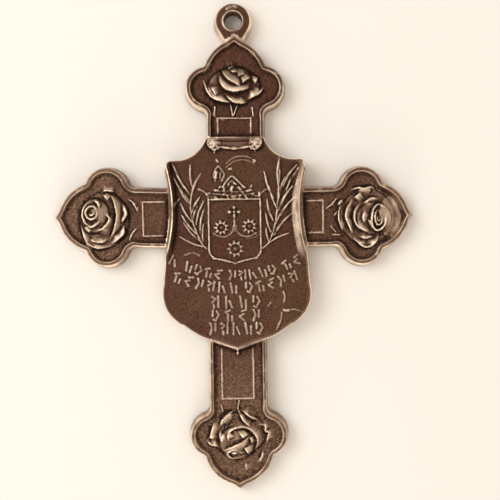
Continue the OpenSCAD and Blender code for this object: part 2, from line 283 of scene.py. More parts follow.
def inside(points, line):
    """Distance to a closed line, above 0 inside it."""
    loop = np.vstack([line, line[:1]])
    best = np.full(len(points), np.inf)
    odd = np.zeros(len(points), bool)
    x, y = points.T
    for a, b in zip(loop, loop[1:]):
        along = b - a
        size = along @ along
        if size < 1e-14:
            continue
        t = np.clip(((x - a[0]) * along[0] + (y - a[1]) * along[1]) / size, 0, 1)
        best = np.minimum(best, (x - a[0] - t * along[0]) ** 2 + (y - a[1] - t * along[1]) ** 2)
        if a[1] != b[1]:
            reach = (b[0] - a[0]) * (y - a[1]) / (b[1] - a[1]) + a[0]
            odd ^= ((a[1] > y) != (b[1] > y)) & (x < reach)
    return np.where(odd, 1, -1) * np.sqrt(best)


def past_eye(points):
    """Distance out from the eye's wall."""
    return np.hypot(*(points - EYE).T) - EYE_R


def ease(t):
    """A smooth step from 0 to 1 as t goes from 0 to 1."""
    s = np.clip(t, 0, 1)
    return s * s * (3 - 2 * s)


def blend_max(a, b, k):
    """The higher of two surfaces, with a fillet of about k where they meet."""
    h = np.clip(0.5 + 0.5 * (a - b) / k, 0, 1)
    return b + (a - b) * h + k * h * (1 - h)


# %% [markdown]
# ## Cast grain
#
# Sand and plaster moulds leave a fine grain, and the panels on the beams were stippled on purpose.
# Value noise gives both: random heights on a lattice, smoothed in between. The random numbers are
# seeded, so the casting is the same each time.


# %% Noise
def grain(points, size, seed):
    """Smooth random heights from -1 to 1 in lumps about size across."""
    lattice = np.random.default_rng(seed).uniform(-1, 1, (256, 256))
    p = points / size + 100
    i = np.floor(p).astype(int)
    f = p - i
    f = f * f * (3 - 2 * f)
    x0, y0 = i[:, 0] % 256, i[:, 1] % 256
    x1, y1 = (x0 + 1) % 256, (y0 + 1) % 256
    low_row = lattice[x0, y0] * (1 - f[:, 0]) + lattice[x1, y0] * f[:, 0]
    high_row = lattice[x0, y1] * (1 - f[:, 0]) + lattice[x1, y1] * f[:, 0]
    return low_row * (1 - f[:, 1]) + high_row * f[:, 1]


# %% [markdown]
# ## Plate and rim
#
# Going in from the outline, the metal climbs a steep drafted wall (a casting needs that slope to
# leave its mould), rounds over a narrow rim, and drops to the sunk field. `np.interp` through a
# few distances and heights is all the profile needs.

# %% Plate, bail and shield profiles
# each profile gives the heights at a row of distances in from its outline
EDGE_Z = 0.25
WALL_IN = [0, 0.03, 0.08, 0.14, 0.19, 0.23, 0.27, 0.33, 0.44, 0.54, 0.6, 0.64, 0.69, 0.76, 0.85, 0.95]
WALL_UP = [EDGE_Z, 0.65, 1.2, 1.72, 2.02, 2.14, 2.19, 2.2, 2.18, 2.19, 2.2, 2.15, 2.03, 1.88, 1.76, FIELD_T]
SHIELD_IN = [0, 0.03, 0.08, 0.14, 0.19, 0.23, 0.27, 0.33, 0.44, 0.6, 0.8]
SHIELD_WALL = [EDGE_Z, 1.1, 2.0, 2.65, 3.05, 3.2, 3.27, 3.28, 3.24, 3.21, SHIELD_T]
ROLL_IN = [0.1, 0.25, 0.4, 0.5, 0.6, 0.7, 1.4, 1.55]
ROLL_UP = [0, 0.2, 0.7, 0.95, 1.0, 0.94, 0.1, 0]
ROLL_RISE, ROLL_CREST = 0.72, 0.6
LEFT_ROLL = 0.45
BAIL_IN = [0, 0.05, 0.12, 0.2, 0.26, 0.31, 0.37, 0.5]
BAIL_UP = [EDGE_Z, 0.75, 1.25, 1.62, 1.78, 1.86, 1.9, BAIL_T]
LIP_OUT = [0, 0.03, 0.08, 0.15, 0.24, 0.34]
LIP_UP = [-0.9, -0.14, 0.05, 0.16, 0.1, 0]
OUTSIDE = -5.0


def rim_share(points):
    """How wide the rim is: all on the trefoil ends and the arms' upper sides, less on the beams."""
    x, y = points.T
    ends = np.maximum(ease((np.abs(x) - 10.4) / 1.2), ease((np.abs(y + 4.9) - 15.8) / 1.2))
    upper = ease((np.abs(x) - 6.4) / 0.4) * ease(y - 1)
    return 0.8 + 0.28 * np.maximum(ends, upper)


def plate_height(points, d):
    """The cross alone, at distance d in from its outline."""
    return np.where(d >= 0, np.interp(d / rim_share(points), WALL_IN, WALL_UP), OUTSIDE)


def roll_share(y):
    """How much of the rolled side rim stands at height y: all at the waist, none at the hem."""
    return ease((y + 5.2) / 3.4) * ease((6.55 - y) / 0.6)


def side_distance(points, d):
    """Distance in from the shield's nearer side edge, where its rim is rolled."""
    x, y = points.T
    near_side = (d > 0) & (np.abs(x) > 4.5) & (y > -6) & (y < 7)
    from_side = np.full(len(points), 9.0)
    from_side[near_side] = from_line(np.column_stack([np.abs(x), y])[near_side], shield_side)[0]
    return from_side


def shield_height(points, d):
    """The shield alone, with its rolled sides."""
    x, y = points.T
    face = np.interp(d, SHIELD_IN, SHIELD_WALL)
    from_side = side_distance(points, d)
    # the left roll drops to the face sooner than the right one
    past_crest = np.maximum(from_side - ROLL_CREST, 0) * np.where(x < 0, 1 / LEFT_ROLL - 1, 0)
    roll = ROLL_RISE * roll_share(y) * np.interp(from_side + past_crest, ROLL_IN, ROLL_UP)
    return np.where(d >= 0, face + roll, OUTSIDE)


def bail_height(points, d):
    """The bail alone, with the lip round its eye."""
    z = np.where(d >= 0, np.interp(d, BAIL_IN, BAIL_UP), OUTSIDE)
    return np.where(d >= 0, z + np.interp(past_eye(points), LIP_OUT, LIP_UP), z)


# %% [markdown]
# ## Lines, beads and leaves
#
# The rest of the relief is laid on top with a few tools: `ridge` for a raised line, `bead` for a
# round drop of metal, `leaf` for a pointed leaf with a rib. Each works only on the places near it.
# `ridge` and `bead` add their height to what is already there; `leaf` takes the higher of its own
# height and what is already there, so leaves overlap as modelled wax does, and don't pile up.


# %% Relief tools
def near(points, line, reach):
    """Which of the points lie in the line's box, grown by reach."""
    lo, hi = line.min(0) - reach, line.max(0) + reach
    return np.flatnonzero(((points > lo) & (points < hi)).all(1))


def ridge(points, z, line, w, rise):
    """A raised line with rounded sides, w wide and a little uneven, as wax modelling is."""
    line = np.asarray(line, float)
    at = near(points, line, w)
    d, _, _ = from_line(points[at], line)
    d = d + 0.035 * grain(points[at], 0.45, 21)
    uneven = 0.85 + 0.3 * grain(points[at], 0.7, 22)
    z[at] += rise * uneven * ease(1.25 * (1 - d / (0.5 * w + 0.06)))


def bead(points, z, centre, r, rise):
    """A round drop of metal."""
    at = near(points, np.array([centre], float), r)
    d = np.hypot(*(points[at] - centre).T) / r
    z[at] += rise * np.sqrt(np.clip(1 - d * d, 0, 1))


def ring(points, z, centre, r, w, rise):
    ridge(points, z, arc(centre, r, 0, 360, 28), w, rise)


def leaf(points, z, base, tip, w, rise, bow):
    """A slender leaf with a sharp rib, bowed to one side by a share of its length."""
    base, tip = np.array(base, float), np.array(tip, float)
    along = tip - base
    middle = (base + tip) / 2 + bow * np.array([-along[1], along[0]])
    line = spline([base, middle, tip], 6)
    at = near(points, line, w)
    d, _, t = from_line(points[at], line)
    half = 0.5 * w * np.sin(np.pi * np.clip(t * 0.92 + 0.04, 0, 1)) ** 0.6 + 0.02
    uneven = 0.75 + 0.5 * grain(points[at], 0.55, 23)
    z[at] = np.maximum(z[at], SHIELD_T + rise * uneven * np.clip(1.15 - d / half, 0, 1) ** 0.8)


FOLD_STEEP, FOLD_GENTLE = 0.18, 0.95


def fold(points, line, rise, gentle=FOLD_GENTLE):
    """A petal: a crisp edge, steep on the line's left, falling slowly away on its right."""
    line = spline(line)
    at = near(points, line, gentle)
    d, side, t = from_line(points[at], line)
    d = np.maximum(d + 0.03 * grain(points[at], 0.5, 24), 0)
    fade = 0.1 + 0.9 * ease(3 * t) * ease(3 * (1 - t))
    outer = ease(1 - d / FOLD_STEEP)
    crest = 0.16 * np.exp(-((d / 0.1) ** 2))
    inner = crest + 0.84 * np.clip(1 - d / (gentle * (0.35 + 0.65 * fade)), 0, 1) ** 1.3
    ends = np.where((t <= 0) | (t >= 1), outer, 1)
    return at, rise * fade * ends * np.where(side > 0, outer, inner)


# %% [markdown]
# ## Panels on the beams
#
# Each beam carries a shallow panel, framed by a thin raised line that runs in under the shield,
# and a few short diagonal bars fill the space between the panel and the rose.

# %% Panels
panel_lines = [
    [(-1.85, 7.5), (-1.88, 11.15), (1.82, 11.1), (1.8, 7.5)],
    [(-1.85, -12.5), (-1.85, -20.15), (1.65, -20.15), (1.65, -12.5)],
    [(-6.5, 1.9), (-10.4, 1.95), (-10.35, -1.88), (-6.5, -1.85)],
    [(6.5, 1.8), (9.72, 1.8), (9.7, -1.78), (6.5, -1.78)],
]
short_bars = [
    [(-11.85, 2.2), (-11.5, 1.95), (-11.0, 1.05)],
    [(-11.9, -2.25), (-11.65, -1.6), (-11.2, -1.05)],
    [(10.1, 0.92), (10.7, 1.35), (11.2, 1.95)],
    [(10.55, -1.1), (11.1, -1.75)],
    [(10.8, -2.05), (11.45, -2.05)],
    [(11.0, 0.15), (11.4, 0.62)],
    [(-0.38, 12.6), (-0.2, 11.4)],
    [(0.32, 12.5), (-0.05, 11.5)],
    [(-2.15, 12.4), (-2.25, 11.5)],
    [(2.0, 12.3), (2.1, 11.4)],
    [(-2.0, -20.9), (-1.8, -21.6)],
    [(0.0, -20.35), (-0.15, -21.3)],
]


print("panels:", len(panel_lines), "short bars:", len(short_bars))


def add_panels(points, z):
    for line in panel_lines:
        ridge(points, z, line, 0.18, 0.13)
    for line in short_bars:
        ridge(points, z, line, 0.2, 0.24)


# %% [markdown]
# ## The roses
#
# The four roses lean out to their tips. Two are seen from above, as tight whorls, and two are cups
# seen from the side, so each one is modelled by itself: a low dome for its body, then its petals'
# edges, drawn as folds from the outer ones in to the bud. A fold is steep on the side where one
# petal covers the next and slopes gently on the other, which is what makes it read as a petal and
# not as a line.

# %% How a rose is written down
# a body is (centre, half-width, half-height, rise)
# a fold is (points, rise) and may add how wide its gentle side is
ROSES = {}

# %% The head's rose
# a cup seen from the side: two wide petals below, the bud leaning to the left
ROSES["head"] = {
    "body": [((0.0, 14.7), 2.9, 2.0, 0.75), ((0.15, 15.4), 1.75, 1.5, 0.55)],
    "folds": [
        ([(0.0, 12.85), (-1.3, 12.95), (-2.4, 13.4), (-3.0, 14.2), (-3.4, 15.4)], 0.55),
        ([(-1.7, 13.3), (-2.1, 13.8), (-2.6, 14.8)], 0.3),
        ([(1.7, 12.95), (0.8, 12.72), (0.0, 12.85), (-0.5, 13.2), (-0.95, 13.75)], 0.5),
        ([(3.35, 14.6), (2.9, 13.9), (2.3, 13.5), (1.5, 13.15)], 0.5),
        ([(2.75, 15.75), (2.55, 15.3), (2.3, 14.9)], 0.3),
        ([
            (1.9, 15.0), (1.5, 14.35), (0.7, 14.05), (-0.3, 14.0), (-1.1, 14.4), (-1.55, 15.2),
            (-1.6, 16.2),
        ], 0.5),
        ([(0.95, 14.25), (0.4, 14.7), (-0.2, 15.0), (-0.8, 15.5), (-1.15, 16.1), (-1.35, 16.85)], 0.55),
        ([(1.95, 15.65), (1.35, 15.2), (0.85, 14.85)], 0.5),
        ([(1.4, 15.95), (0.9, 15.8), (0.4, 15.6)], 0.3),
        ([(0.2, 16.9), (-0.3, 16.75), (-0.8, 16.6)], 0.25),
        ([(0.5, 16.3), (0.0, 16.15), (-0.4, 16.45)], 0.22),
    ],
}

# %% The left arm's rose
# seen from above, its whorl towards the tip and its big petals towards the shield
ROSES["left"] = {
    "body": [((-14.7, 0.0), 2.75, 3.1, 0.7), ((-15.7, 0.5), 1.7, 1.9, 0.7)],
    "folds": [
        ([(-14.0, -2.9), (-14.8, -3.1), (-15.7, -3.05), (-16.5, -2.6), (-16.95, -1.7), (-17.3, -0.4)], 0.5),
        ([(-14.2, -2.05), (-15.0, -2.5), (-15.9, -2.35), (-16.6, -1.8)], 0.3),
        ([(-12.5, -0.4), (-12.5, -1.5), (-13.1, -2.1), (-13.9, -2.6)], 0.42),
        ([(-12.75, 2.0), (-12.25, 1.2), (-12.15, 0.6), (-12.5, 0.0), (-13.0, -0.6)], 0.42),
        ([(-13.4, 3.05), (-14.2, 3.25), (-15.0, 3.15)], 0.35),
        ([(-14.15, 2.1), (-14.45, 2.5), (-14.8, 2.85)], 0.32),
        ([(-14.0, -2.1), (-13.55, -1.2), (-13.2, 0.0), (-13.2, 0.9), (-13.45, 1.9), (-13.95, 2.95)], 0.62),
        ([(-15.4, -1.15), (-14.8, -1.0), (-14.15, -0.35), (-14.0, 0.2), (-14.4, 0.65)], 0.5),
        ([(-16.1, -1.45), (-16.55, -1.15), (-16.95, -0.75)], 0.3),
        ([(-16.1, -0.75), (-16.75, -0.25), (-17.0, 0.6), (-16.8, 1.5), (-16.35, 2.05)], 0.4, 0.35),
        ([(-15.05, -0.15), (-15.5, -0.6), (-16.05, -0.8), (-16.5, -0.45)], 0.5, 0.4),
        ([(-15.05, 1.3), (-15.3, 1.95), (-15.85, 2.3)], 0.45, 0.35),
        ([
            (-15.3, 0.9), (-15.45, 0.3), (-15.95, 0.05), (-16.4, 0.3), (-16.6, 0.85), (-16.3, 1.4),
            (-15.75, 1.5), (-15.35, 1.15),
        ], 0.5, 0.28),
        ([(-15.75, 0.95), (-15.7, 0.65), (-16.0, 0.5), (-16.2, 0.8)], 0.25, 0.2),
    ],
}

# %% The right arm's rose
# the same, but wider open, with one flat petal between the whorl and the tip
ROSES["right"] = {
    "body": [
        ((14.6, -0.1), 3.0, 3.1, 0.7), ((15.3, -0.3), 1.9, 1.8, 0.5), ((17.1, -0.15), 1.35, 2.3, 0.5),
    ],
    "folds": [
        ([(12.05, -1.85), (11.65, -1.1), (11.4, -0.2), (11.5, 0.7), (11.95, 1.6)], 0.45),
        ([(11.35, 1.15), (11.6, 1.6), (12.0, 1.9)], 0.3),
        ([(12.9, -1.85), (12.5, -1.0), (12.15, -0.1), (12.35, 0.9), (12.95, 1.8)], 0.6),
        ([(13.1, 1.95), (13.6, 2.35), (14.0, 2.75)], 0.4),
        ([(12.95, 2.9), (13.6, 3.15), (14.3, 3.05), (15.1, 3.2), (15.6, 2.75)], 0.48),
        ([(15.75, -2.0), (15.65, -2.7), (15.1, -3.3), (14.4, -3.5), (13.7, -3.15), (13.1, -2.5)], 0.5),
        ([(15.3, -2.25), (14.4, -2.45), (13.6, -2.3)], 0.28),
        ([(15.0, -1.85), (14.2, -1.6), (13.5, -1.2), (13.1, -0.4), (13.2, 0.6), (13.9, 1.5)], 0.38),
        ([(14.25, -0.9), (14.0, -0.2), (14.3, 0.65)], 0.25),
        ([(14.1, 1.25), (15.0, 1.9), (15.9, 1.85)], 0.3),
        ([(15.15, -1.65), (14.85, -1.0), (14.55, -0.3)], 0.42, 0.4),
        ([
            (16.6, 0.1), (16.45, -0.95), (15.95, -1.55), (15.4, -1.6), (15.0, -1.0), (14.95, -0.2),
            (15.2, 0.75), (15.85, 1.25), (16.5, 0.9),
        ], 0.6, 0.32),
        ([
            (16.15, -0.2), (16.05, -0.8), (15.65, -1.05), (15.35, -0.6), (15.35, 0.1), (15.65, 0.55),
            (16.0, 0.35),
        ], 0.45, 0.25),
        ([(15.95, -0.3), (15.75, -0.65), (15.6, -0.3), (15.75, 0.05)], 0.28, 0.18),
        ([
            (16.3, 1.75), (16.95, 2.2), (17.6, 1.75), (18.1, 0.6), (18.35, -0.2), (17.95, -1.4),
            (17.2, -2.3), (16.5, -2.5),
        ], 0.16, 0.5),
    ],
}

# %% The foot's rose
# a cup again, hanging head down, half wrapped in its sepals
ROSES["foot"] = {
    "body": [((-0.2, -24.0), 3.2, 2.3, 0.7), ((-0.3, -25.0), 1.95, 1.9, 0.7)],
    "folds": [
        ([(-2.15, -23.15), (-1.85, -22.4), (-1.3, -21.85), (-0.5, -21.45)], 0.55),
        ([(1.7, -23.25), (1.0, -23.0), (0.5, -22.5), (0.15, -21.9), (-0.2, -21.2)], 0.42),
        ([(2.2, -22.55), (1.4, -22.2), (0.7, -21.7), (0.1, -21.3)], 0.5),
        ([(3.0, -25.2), (3.1, -24.5), (3.25, -23.95), (2.9, -23.7), (2.85, -23.15), (2.2, -23.0)], 0.45),
        ([(-3.65, -24.75), (-3.3, -24.3), (-3.1, -23.7), (-2.9, -22.95), (-3.2, -22.6)], 0.42),
        ([(-2.3, -25.35), (-3.2, -25.2), (-3.7, -24.7)], 0.3),
        ([(-2.0, -24.9), (-2.2, -24.2), (-2.05, -23.5)], 0.3),
        ([
            (1.75, -25.9), (2.0, -25.0), (1.85, -24.2), (1.2, -23.5), (0.3, -23.15), (-0.6, -23.3),
            (-1.4, -23.9), (-1.6, -24.6),
        ], 0.42),
        ([(-1.2, -24.6), (-1.3, -24.1), (-1.0, -23.55)], 0.42),
        ([(1.0, -23.85), (0.6, -24.1), (0.25, -24.4)], 0.32),
        ([(-1.95, -25.95), (-1.3, -25.5), (-0.5, -25.1), (0.3, -24.75), (1.15, -24.2)], 0.6),
        ([(1.4, -25.0), (1.35, -24.6), (1.1, -24.25)], 0.4),
        ([(1.15, -26.5), (0.85, -25.9), (0.5, -25.25)], 0.42),
        ([
            (0.2, -26.1), (-0.3, -25.7), (-0.9, -25.75), (-1.35, -26.2), (-0.9, -26.75), (-0.2, -26.75),
        ], 0.3),
        ([(-0.3, -26.3), (-0.65, -26.1), (-0.9, -26.35)], 0.2),
        ([(1.9, -27.2), (2.4, -26.7), (2.6, -25.9)], 0.25),
        ([(0.7, -28.2), (0.6, -27.3)], 0.12),
    ],
}


# %% Lay the roses on the plate
PETAL_LIFT = 1.2
print("folds:", {name: len(rose["folds"]) for name, rose in ROSES.items()})


def add_roses(points, z):
    """Each rose: its low body first, then the highest of its folds at each place."""
    for rose in ROSES.values():
        for centre, rx, ry, rise in rose["body"]:
            at = near(points, np.array([centre]), max(rx, ry))
            r = np.hypot((points[at, 0] - centre[0]) / rx, (points[at, 1] - centre[1]) / ry)
            z[at] += rise * np.sqrt(np.clip(1 - r * r, 0, 1)) * (0.75 + 0.25 * ease(1 - r))
        petals = np.zeros(len(points))
        for line, rise, *width in rose["folds"]:
            at, up = fold(points, line, PETAL_LIFT * rise, *width)
            petals[at] = np.maximum(petals[at], up)
        z += petals


# %% [markdown]
# ## The shield's relief
#
# A scroll lies along the shield's top edge. Below it come a coronet, a small escutcheon between
# two leafy branches, and five rows of shallow strokes where a text would stand. The strokes are
# deliberately not letters, and the little arms are plain stock shapes: a cross on a stem, an arched
# chevron and three rosettes. Each branch, row and bead is one line of a table, and a loop lays them
# all, so one of them can be moved without touching the rest.

# %% Scroll along the top edge
CURL = [
    (-0.75, -0.1), (-0.55, 0.42), (0.0, 0.62), (0.5, 0.3), (0.52, -0.25), (0.1, -0.5), (-0.25, -0.2)
]


def add_scroll(points, z):
    at = near(points, np.array([[-3.2, 7.3], [3.2, 8.9]]), 0.1)
    x, y = points[at].T
    sag = 0.12 * np.cos(np.clip(x / 2.6, -1, 1) * np.pi / 2)
    across = (y - 8.15 + sag) / 0.5
    z[at] += 0.25 * ease(1.4 * (1 - np.abs(across))) * ease((2.5 - np.abs(x)) / 0.3)
    ridge(points, z, spline([(-1.9, 8.6), (0, 8.5), (1.9, 8.62)]), 0.18, 0.14)
    ridge(points, z, spline([(-2.0, 7.8), (0, 7.58), (2.0, 7.8)]), 0.22, 0.26)
    for side in (-1, 1):
        curl = np.array(CURL) * [side, 1] + [side * 2.4, 8.2]
        bead(points, z, (side * 2.42, 8.2), 0.62, 0.34)
        ridge(points, z, spline(curl), 0.26, 0.24)
        bead(points, z, (side * 2.36, 8.16), 0.24, 0.14)
        ridge(points, z, spline([(side * 2.75, 7.75), (side * 2.3, 7.5), (side * 1.75, 7.62)]), 0.32, 0.3)
        ridge(points, z, [(side * 2.1, 7.55), (side * 2.25, 7.2)], 0.2, 0.14)


# %% Escutcheon, coronet and ribbon
SHIELD_X = -0.13
TEETH = 9


def small_shield(w, top, drop):
    """The escutcheon's outline: w is its half-width, drop its height."""
    point = top - drop
    foot = [[0.85 * w, point + 0.62], [0.5 * w, point + 0.42], [0.2 * w, point + 0.2], [0, point]]
    corner = arc([w - 0.9, point + 1.5], 0.9, 0, -60, 6)
    right = np.vstack([[[w, top]], corner, spline(foot, 4)])
    line = np.vstack([right, flipped(right)[1:]])
    return line + [SHIELD_X, 0]


def add_arms(points, z):
    edge = small_shield(2.85, 2.0, 7.05)
    ridge(points, z, np.vstack([edge, edge[:1]]), 0.16, 0.2)
    # a small flared cross on a stem, over an arched chevron
    middle = np.array([SHIELD_X - 0.05, 0.62])
    for tip in [(0, 0.5), (0, -0.45), (0.55, 0), (-0.55, 0)]:
        ridge(points, z, [middle, middle + tip], 0.24, 0.16)
        bead(points, z, middle + np.array(tip), 0.22, 0.14)
    ridge(points, z, [middle, (SHIELD_X, -1.5)], 0.2, 0.1)
    for side in (-1, 1):
        arch = [(0.15, -0.9), (0.3, -1.6), (0.95, -2.05), (1.7, -2.05), (2.3, -1.75)]
        ridge(points, z, spline(np.array(arch) * [side, 1] + [SHIELD_X, 0]), 0.18, 0.08)
    # rosettes: a ring with small teeth round a plain middle
    for centre, r in [((-1.6, -1.1), 0.52), ((1.5, -0.98), 0.52), ((-0.1, -3.45), 0.62)]:
        ring(points, z, centre, r, 0.16, 0.1)
        for k in range(TEETH):
            a = 2 * math.pi * (k + 0.5) / TEETH
            out = np.array([math.cos(a), math.sin(a)])
            ridge(points, z, [centre + r * out, centre + (r + 0.2) * out], 0.18, 0.14)
        bead(points, z, centre, 0.2, 0.05)


# %% Coronet and ribbon
# (x, y, size): short irregular beads, each turned a different way
CORONET_BEADS = [
    (-2.1, 3.03, 0.3), (-0.38, 3.2, 0.34), (0.46, 3.2, 0.28), (1.48, 2.95, 0.3), (-1.25, 3.1, 0.24),
    (-2.1, 2.2, 0.26), (-1.6, 2.1, 0.2), (-0.85, 2.3, 0.2), (-0.2, 2.25, 0.28), (0.5, 2.3, 0.2),
    (1.2, 2.2, 0.28), (-3.0, 2.65, 0.28), (2.62, 2.55, 0.28), (1.0, 3.35, 0.2), (-1.7, 3.35, 0.2),
    (-0.75, 3.65, 0.18), (-0.05, 3.7, 0.2), (1.75, 3.4, 0.18), (-1.95, 6.25, 0.2), (-0.52, 5.35, 0.2),
    (-0.38, 2.75, 0.2), (0.8, 2.75, 0.18), (-1.2, 2.65, 0.2), (1.9, 2.55, 0.18),
]


def add_coronet(points, z):
    ridge(points, z, spline([(-2.4, 2.62), (0, 2.46), (2.1, 2.62)]), 0.2, 0.1)
    ridge(points, z, spline([(-2.2, 2.95), (0, 2.82), (1.9, 2.95)]), 0.16, 0.08)
    for k, (x, y, r) in enumerate(CORONET_BEADS):
        half = turned([[0.55 * r, 0.0]], 67 * k)[0]
        ridge(points, z, [np.array([x, y]) - half, np.array([x, y]) + half], 1.1 * r, 0.62 * r)
    # a pointed arch over the middle, with a pair of small leaves on its left
    arch = [(-1.4, 3.35), (-0.95, 4.0), (-0.38, 4.55), (0.2, 4.1), (0.93, 3.3)]
    ridge(points, z, spline(arch), 0.18, 0.13)
    ridge(points, z, spline([(-0.85, 3.6), (-0.38, 4.0), (0.15, 3.6)]), 0.16, 0.08)
    ridge(points, z, spline([(-1.85, 5.65), (-2.25, 5.15), (-2.38, 4.6), (-2.15, 4.05)]), 0.18, 0.13)
    ridge(points, z, spline([(-1.75, 5.65), (-1.45, 5.2), (-1.2, 4.75), (-1.45, 4.1)]), 0.18, 0.11)
    ridge(points, z, [(-2.08, 5.0), (-2.12, 4.4)], 0.42, 0.24)
    ridge(points, z, [(-1.62, 4.9), (-1.68, 4.4)], 0.22, 0.12)
    for side, x in ((-1, -3.0), (1, 2.65)):
        curl = [(x, 1.95), (x + side * 0.1, 2.5), (x + side * 0.55, 2.95), (x + side * 1.0, 3.15)]
        ridge(points, z, spline(curl), 0.16, 0.12)
        ridge(points, z, [(x - side * 0.1, 2.3), (x - side * 0.45, 2.35)], 0.16, 0.1)
    # a plain arched ribbon, drawn by its two edges
    ribbon = [(-0.95, 5.95), (-0.4, 6.4), (0.25, 6.68), (1.1, 6.72), (1.75, 6.5), (2.15, 6.25)]
    for shift in (0, -0.4):
        ridge(points, z, spline(np.array(ribbon) + [0, shift]), 0.16, 0.06)
    bead(points, z, (2.15, 6.2), 0.22, 0.14)


# %% [markdown]
# ## Two branches
#
# A branch rises on each side of the escutcheon. Each is a stem and fourteen or fifteen slender
# leaves with a sharp rib. A leaf needs only its base, its tip and its width, because the tool bows
# it and tapers it, so the whole branch stays easy to move about.

# %% The two branches
# each leaf is (base, tip, width)
BRANCHES = [
    {
        "stem": [
            (-3.3, -3.35), (-3.7, -2.9), (-4.2, -1.9), (-4.65, -0.7),
            (-4.9, 0.4), (-4.95, 1.6), (-4.75, 2.8), (-4.3, 4.0),
        ],
        "leaves": [
            ((-5.0, 2.6), (-6.85, 6.0), 0.36), ((-4.75, 3.4), (-4.9, 5.9), 0.34),
            ((-4.9, 2.5), (-3.8, 4.85), 0.42),
            ((-5.05, 1.9), (-6.95, 4.9), 0.3), ((-4.95, 1.5), (-6.2, 3.3), 0.26),
            ((-6.85, 0.9), (-6.15, 2.2), 0.3),
            ((-4.75, -0.5), (-6.05, 1.65), 0.34), ((-4.3, -1.8), (-5.95, 0.35), 0.32),
            ((-3.9, -2.6), (-5.75, -0.5), 0.26),
            ((-3.5, -3.2), (-6.3, -1.95), 0.24), ((-4.85, 0.5), (-3.9, 2.35), 0.36),
            ((-4.4, -0.8), (-3.5, 1.85), 0.34),
            ((-3.95, -1.6), (-3.5, 1.0), 0.32), ((-3.65, -2.6), (-3.55, -0.6), 0.26),
            ((-4.75, -0.3), (-4.2, 1.3), 0.26),
        ],
    },
    {
        "stem": [
            (2.9, -3.4), (3.5, -2.9), (3.95, -2.0), (4.25, -1.0),
            (4.5, 0.3), (4.6, 1.6), (4.8, 3.6), (4.95, 6.4),
        ],
        "leaves": [
            ((4.2, 2.0), (3.2, 5.05), 0.34), ((5.2, 3.3), (6.75, 5.65), 0.4),
            ((4.7, 3.4), (4.95, 6.7), 0.42),
            ((5.55, 2.8), (6.95, 5.35), 0.3), ((4.65, 0.6), (6.25, 3.35), 0.42),
            ((4.9, 0.1), (6.35, 2.05), 0.3),
            ((4.1, -2.1), (6.15, 0.4), 0.28), ((3.4, -2.95), (5.95, -1.75), 0.26),
            ((3.85, -1.7), (3.3, 0.45), 0.3),
            ((4.1, -0.4), (3.45, 1.95), 0.34), ((4.5, 1.0), (3.75, 3.4), 0.28),
            ((3.6, -2.7), (3.3, -1.2), 0.24),
            ((4.7, 1.8), (5.5, 4.4), 0.34), ((4.35, -0.8), (5.7, 1.4), 0.26),
        ],
    },
]


print("leaves:", [len(branch["leaves"]) for branch in BRANCHES])


def add_branches(points, z):
    for branch in BRANCHES:
        ridge(points, z, spline(branch["stem"]), 0.16, 0.16)
        for base, tip, w in branch["leaves"]:
            leaf(points, z, base, tip, 0.85 * w, 0.22, bow=0.05)


# %% [markdown]
# ## Five rows of strokes
#
# The lower shield holds five rows of small raised marks, the upper two hanging in a shallow arc. We
# keep their sizes, gaps and rows, and build each mark from two or three loose strokes. The marks are
# taken from a short list in a fixed order, which looks uneven enough without any chance.

# %% Five rows of shallow strokes
# (number of marks, middle height, sag, half-width, height of a mark, breaks after these marks)
STROKE_ROWS = [
    (12, -6.35, 0.036, 6.75, 0.95, (0, 4, 9)),
    (11, -7.75, 0.03, 6.35, 1.05, (5,)),
    (4, -9.3, 0.0, 2.25, 1.25, ()),
    (4, -10.75, 0.0, 2.25, 1.15, ()),
    (5, -12.2, 0.0, 2.55, 1.2, ()),
]
# each mark is two or three loose strokes in a box one high, which join up into no letter
MARKS = [
    [[(-0.28, 0.5), (-0.28, -0.5)], [(0.04, 0.1), (0.3, -0.48)]],
    [[(-0.3, -0.5), (-0.1, 0.05), (-0.28, 0.5)], [(0.24, 0.45), (0.2, -0.15)]],
    [[(-0.34, 0.3), (0.05, 0.48)], [(-0.14, 0.1), (-0.12, -0.5)], [(0.28, -0.1), (0.26, -0.5)]],
    [[(-0.25, 0.5), (-0.08, -0.45)], [(0.3, 0.15), (0.3, -0.5)]],
    [
        [(-0.3, 0.45), (0.02, 0.3), (-0.28, 0.02)],
        [(-0.16, -0.25), (-0.14, -0.5)],
        [(0.28, 0.5), (0.26, -0.4)],
    ],
    [[(0.3, 0.5), (-0.08, 0.38)], [(0.08, 0.12), (-0.28, -0.12), (0.1, -0.48)]],
    [[(-0.26, 0.5), (-0.3, 0.0)], [(0.1, 0.42), (0.3, 0.05), (0.08, -0.3)], [(-0.2, -0.4), (0.0, -0.5)]],
]


WORD_GAP = 0.45
MARK_W = 1.12
print("marks in each row:", [row[0] for row in STROKE_ROWS])


def add_strokes(points, z):
    for row, (count, middle, sag, half, tall, breaks) in enumerate(STROKE_ROWS):
        gaps = np.array([0.0] + [WORD_GAP if k in breaks else 0.0 for k in range(count - 1)])
        place = np.arange(count) + np.cumsum(gaps)
        place = 2 * place / place[-1] - 1
        for k, across in enumerate(place):
            x = SHIELD_X + across * half
            y = middle + sag * x * x
            lean = math.degrees(math.atan(2 * sag * x))
            for stroke in MARKS[(3 * k + 2 * row) % len(MARKS)]:
                line = turned(np.array(stroke) * [MARK_W, tall], lean) + [x, y]
                ridge(points, z, line, 0.3, 0.11)


# %% [markdown]
# ## Knocks and casting flaws
#
# A casting that has hung on a cord for years isn't perfect. A few scratches, a cold seam low on
# the shield's right side, a drop of metal under its point and two lumps on the bail go where the
# real one has them.

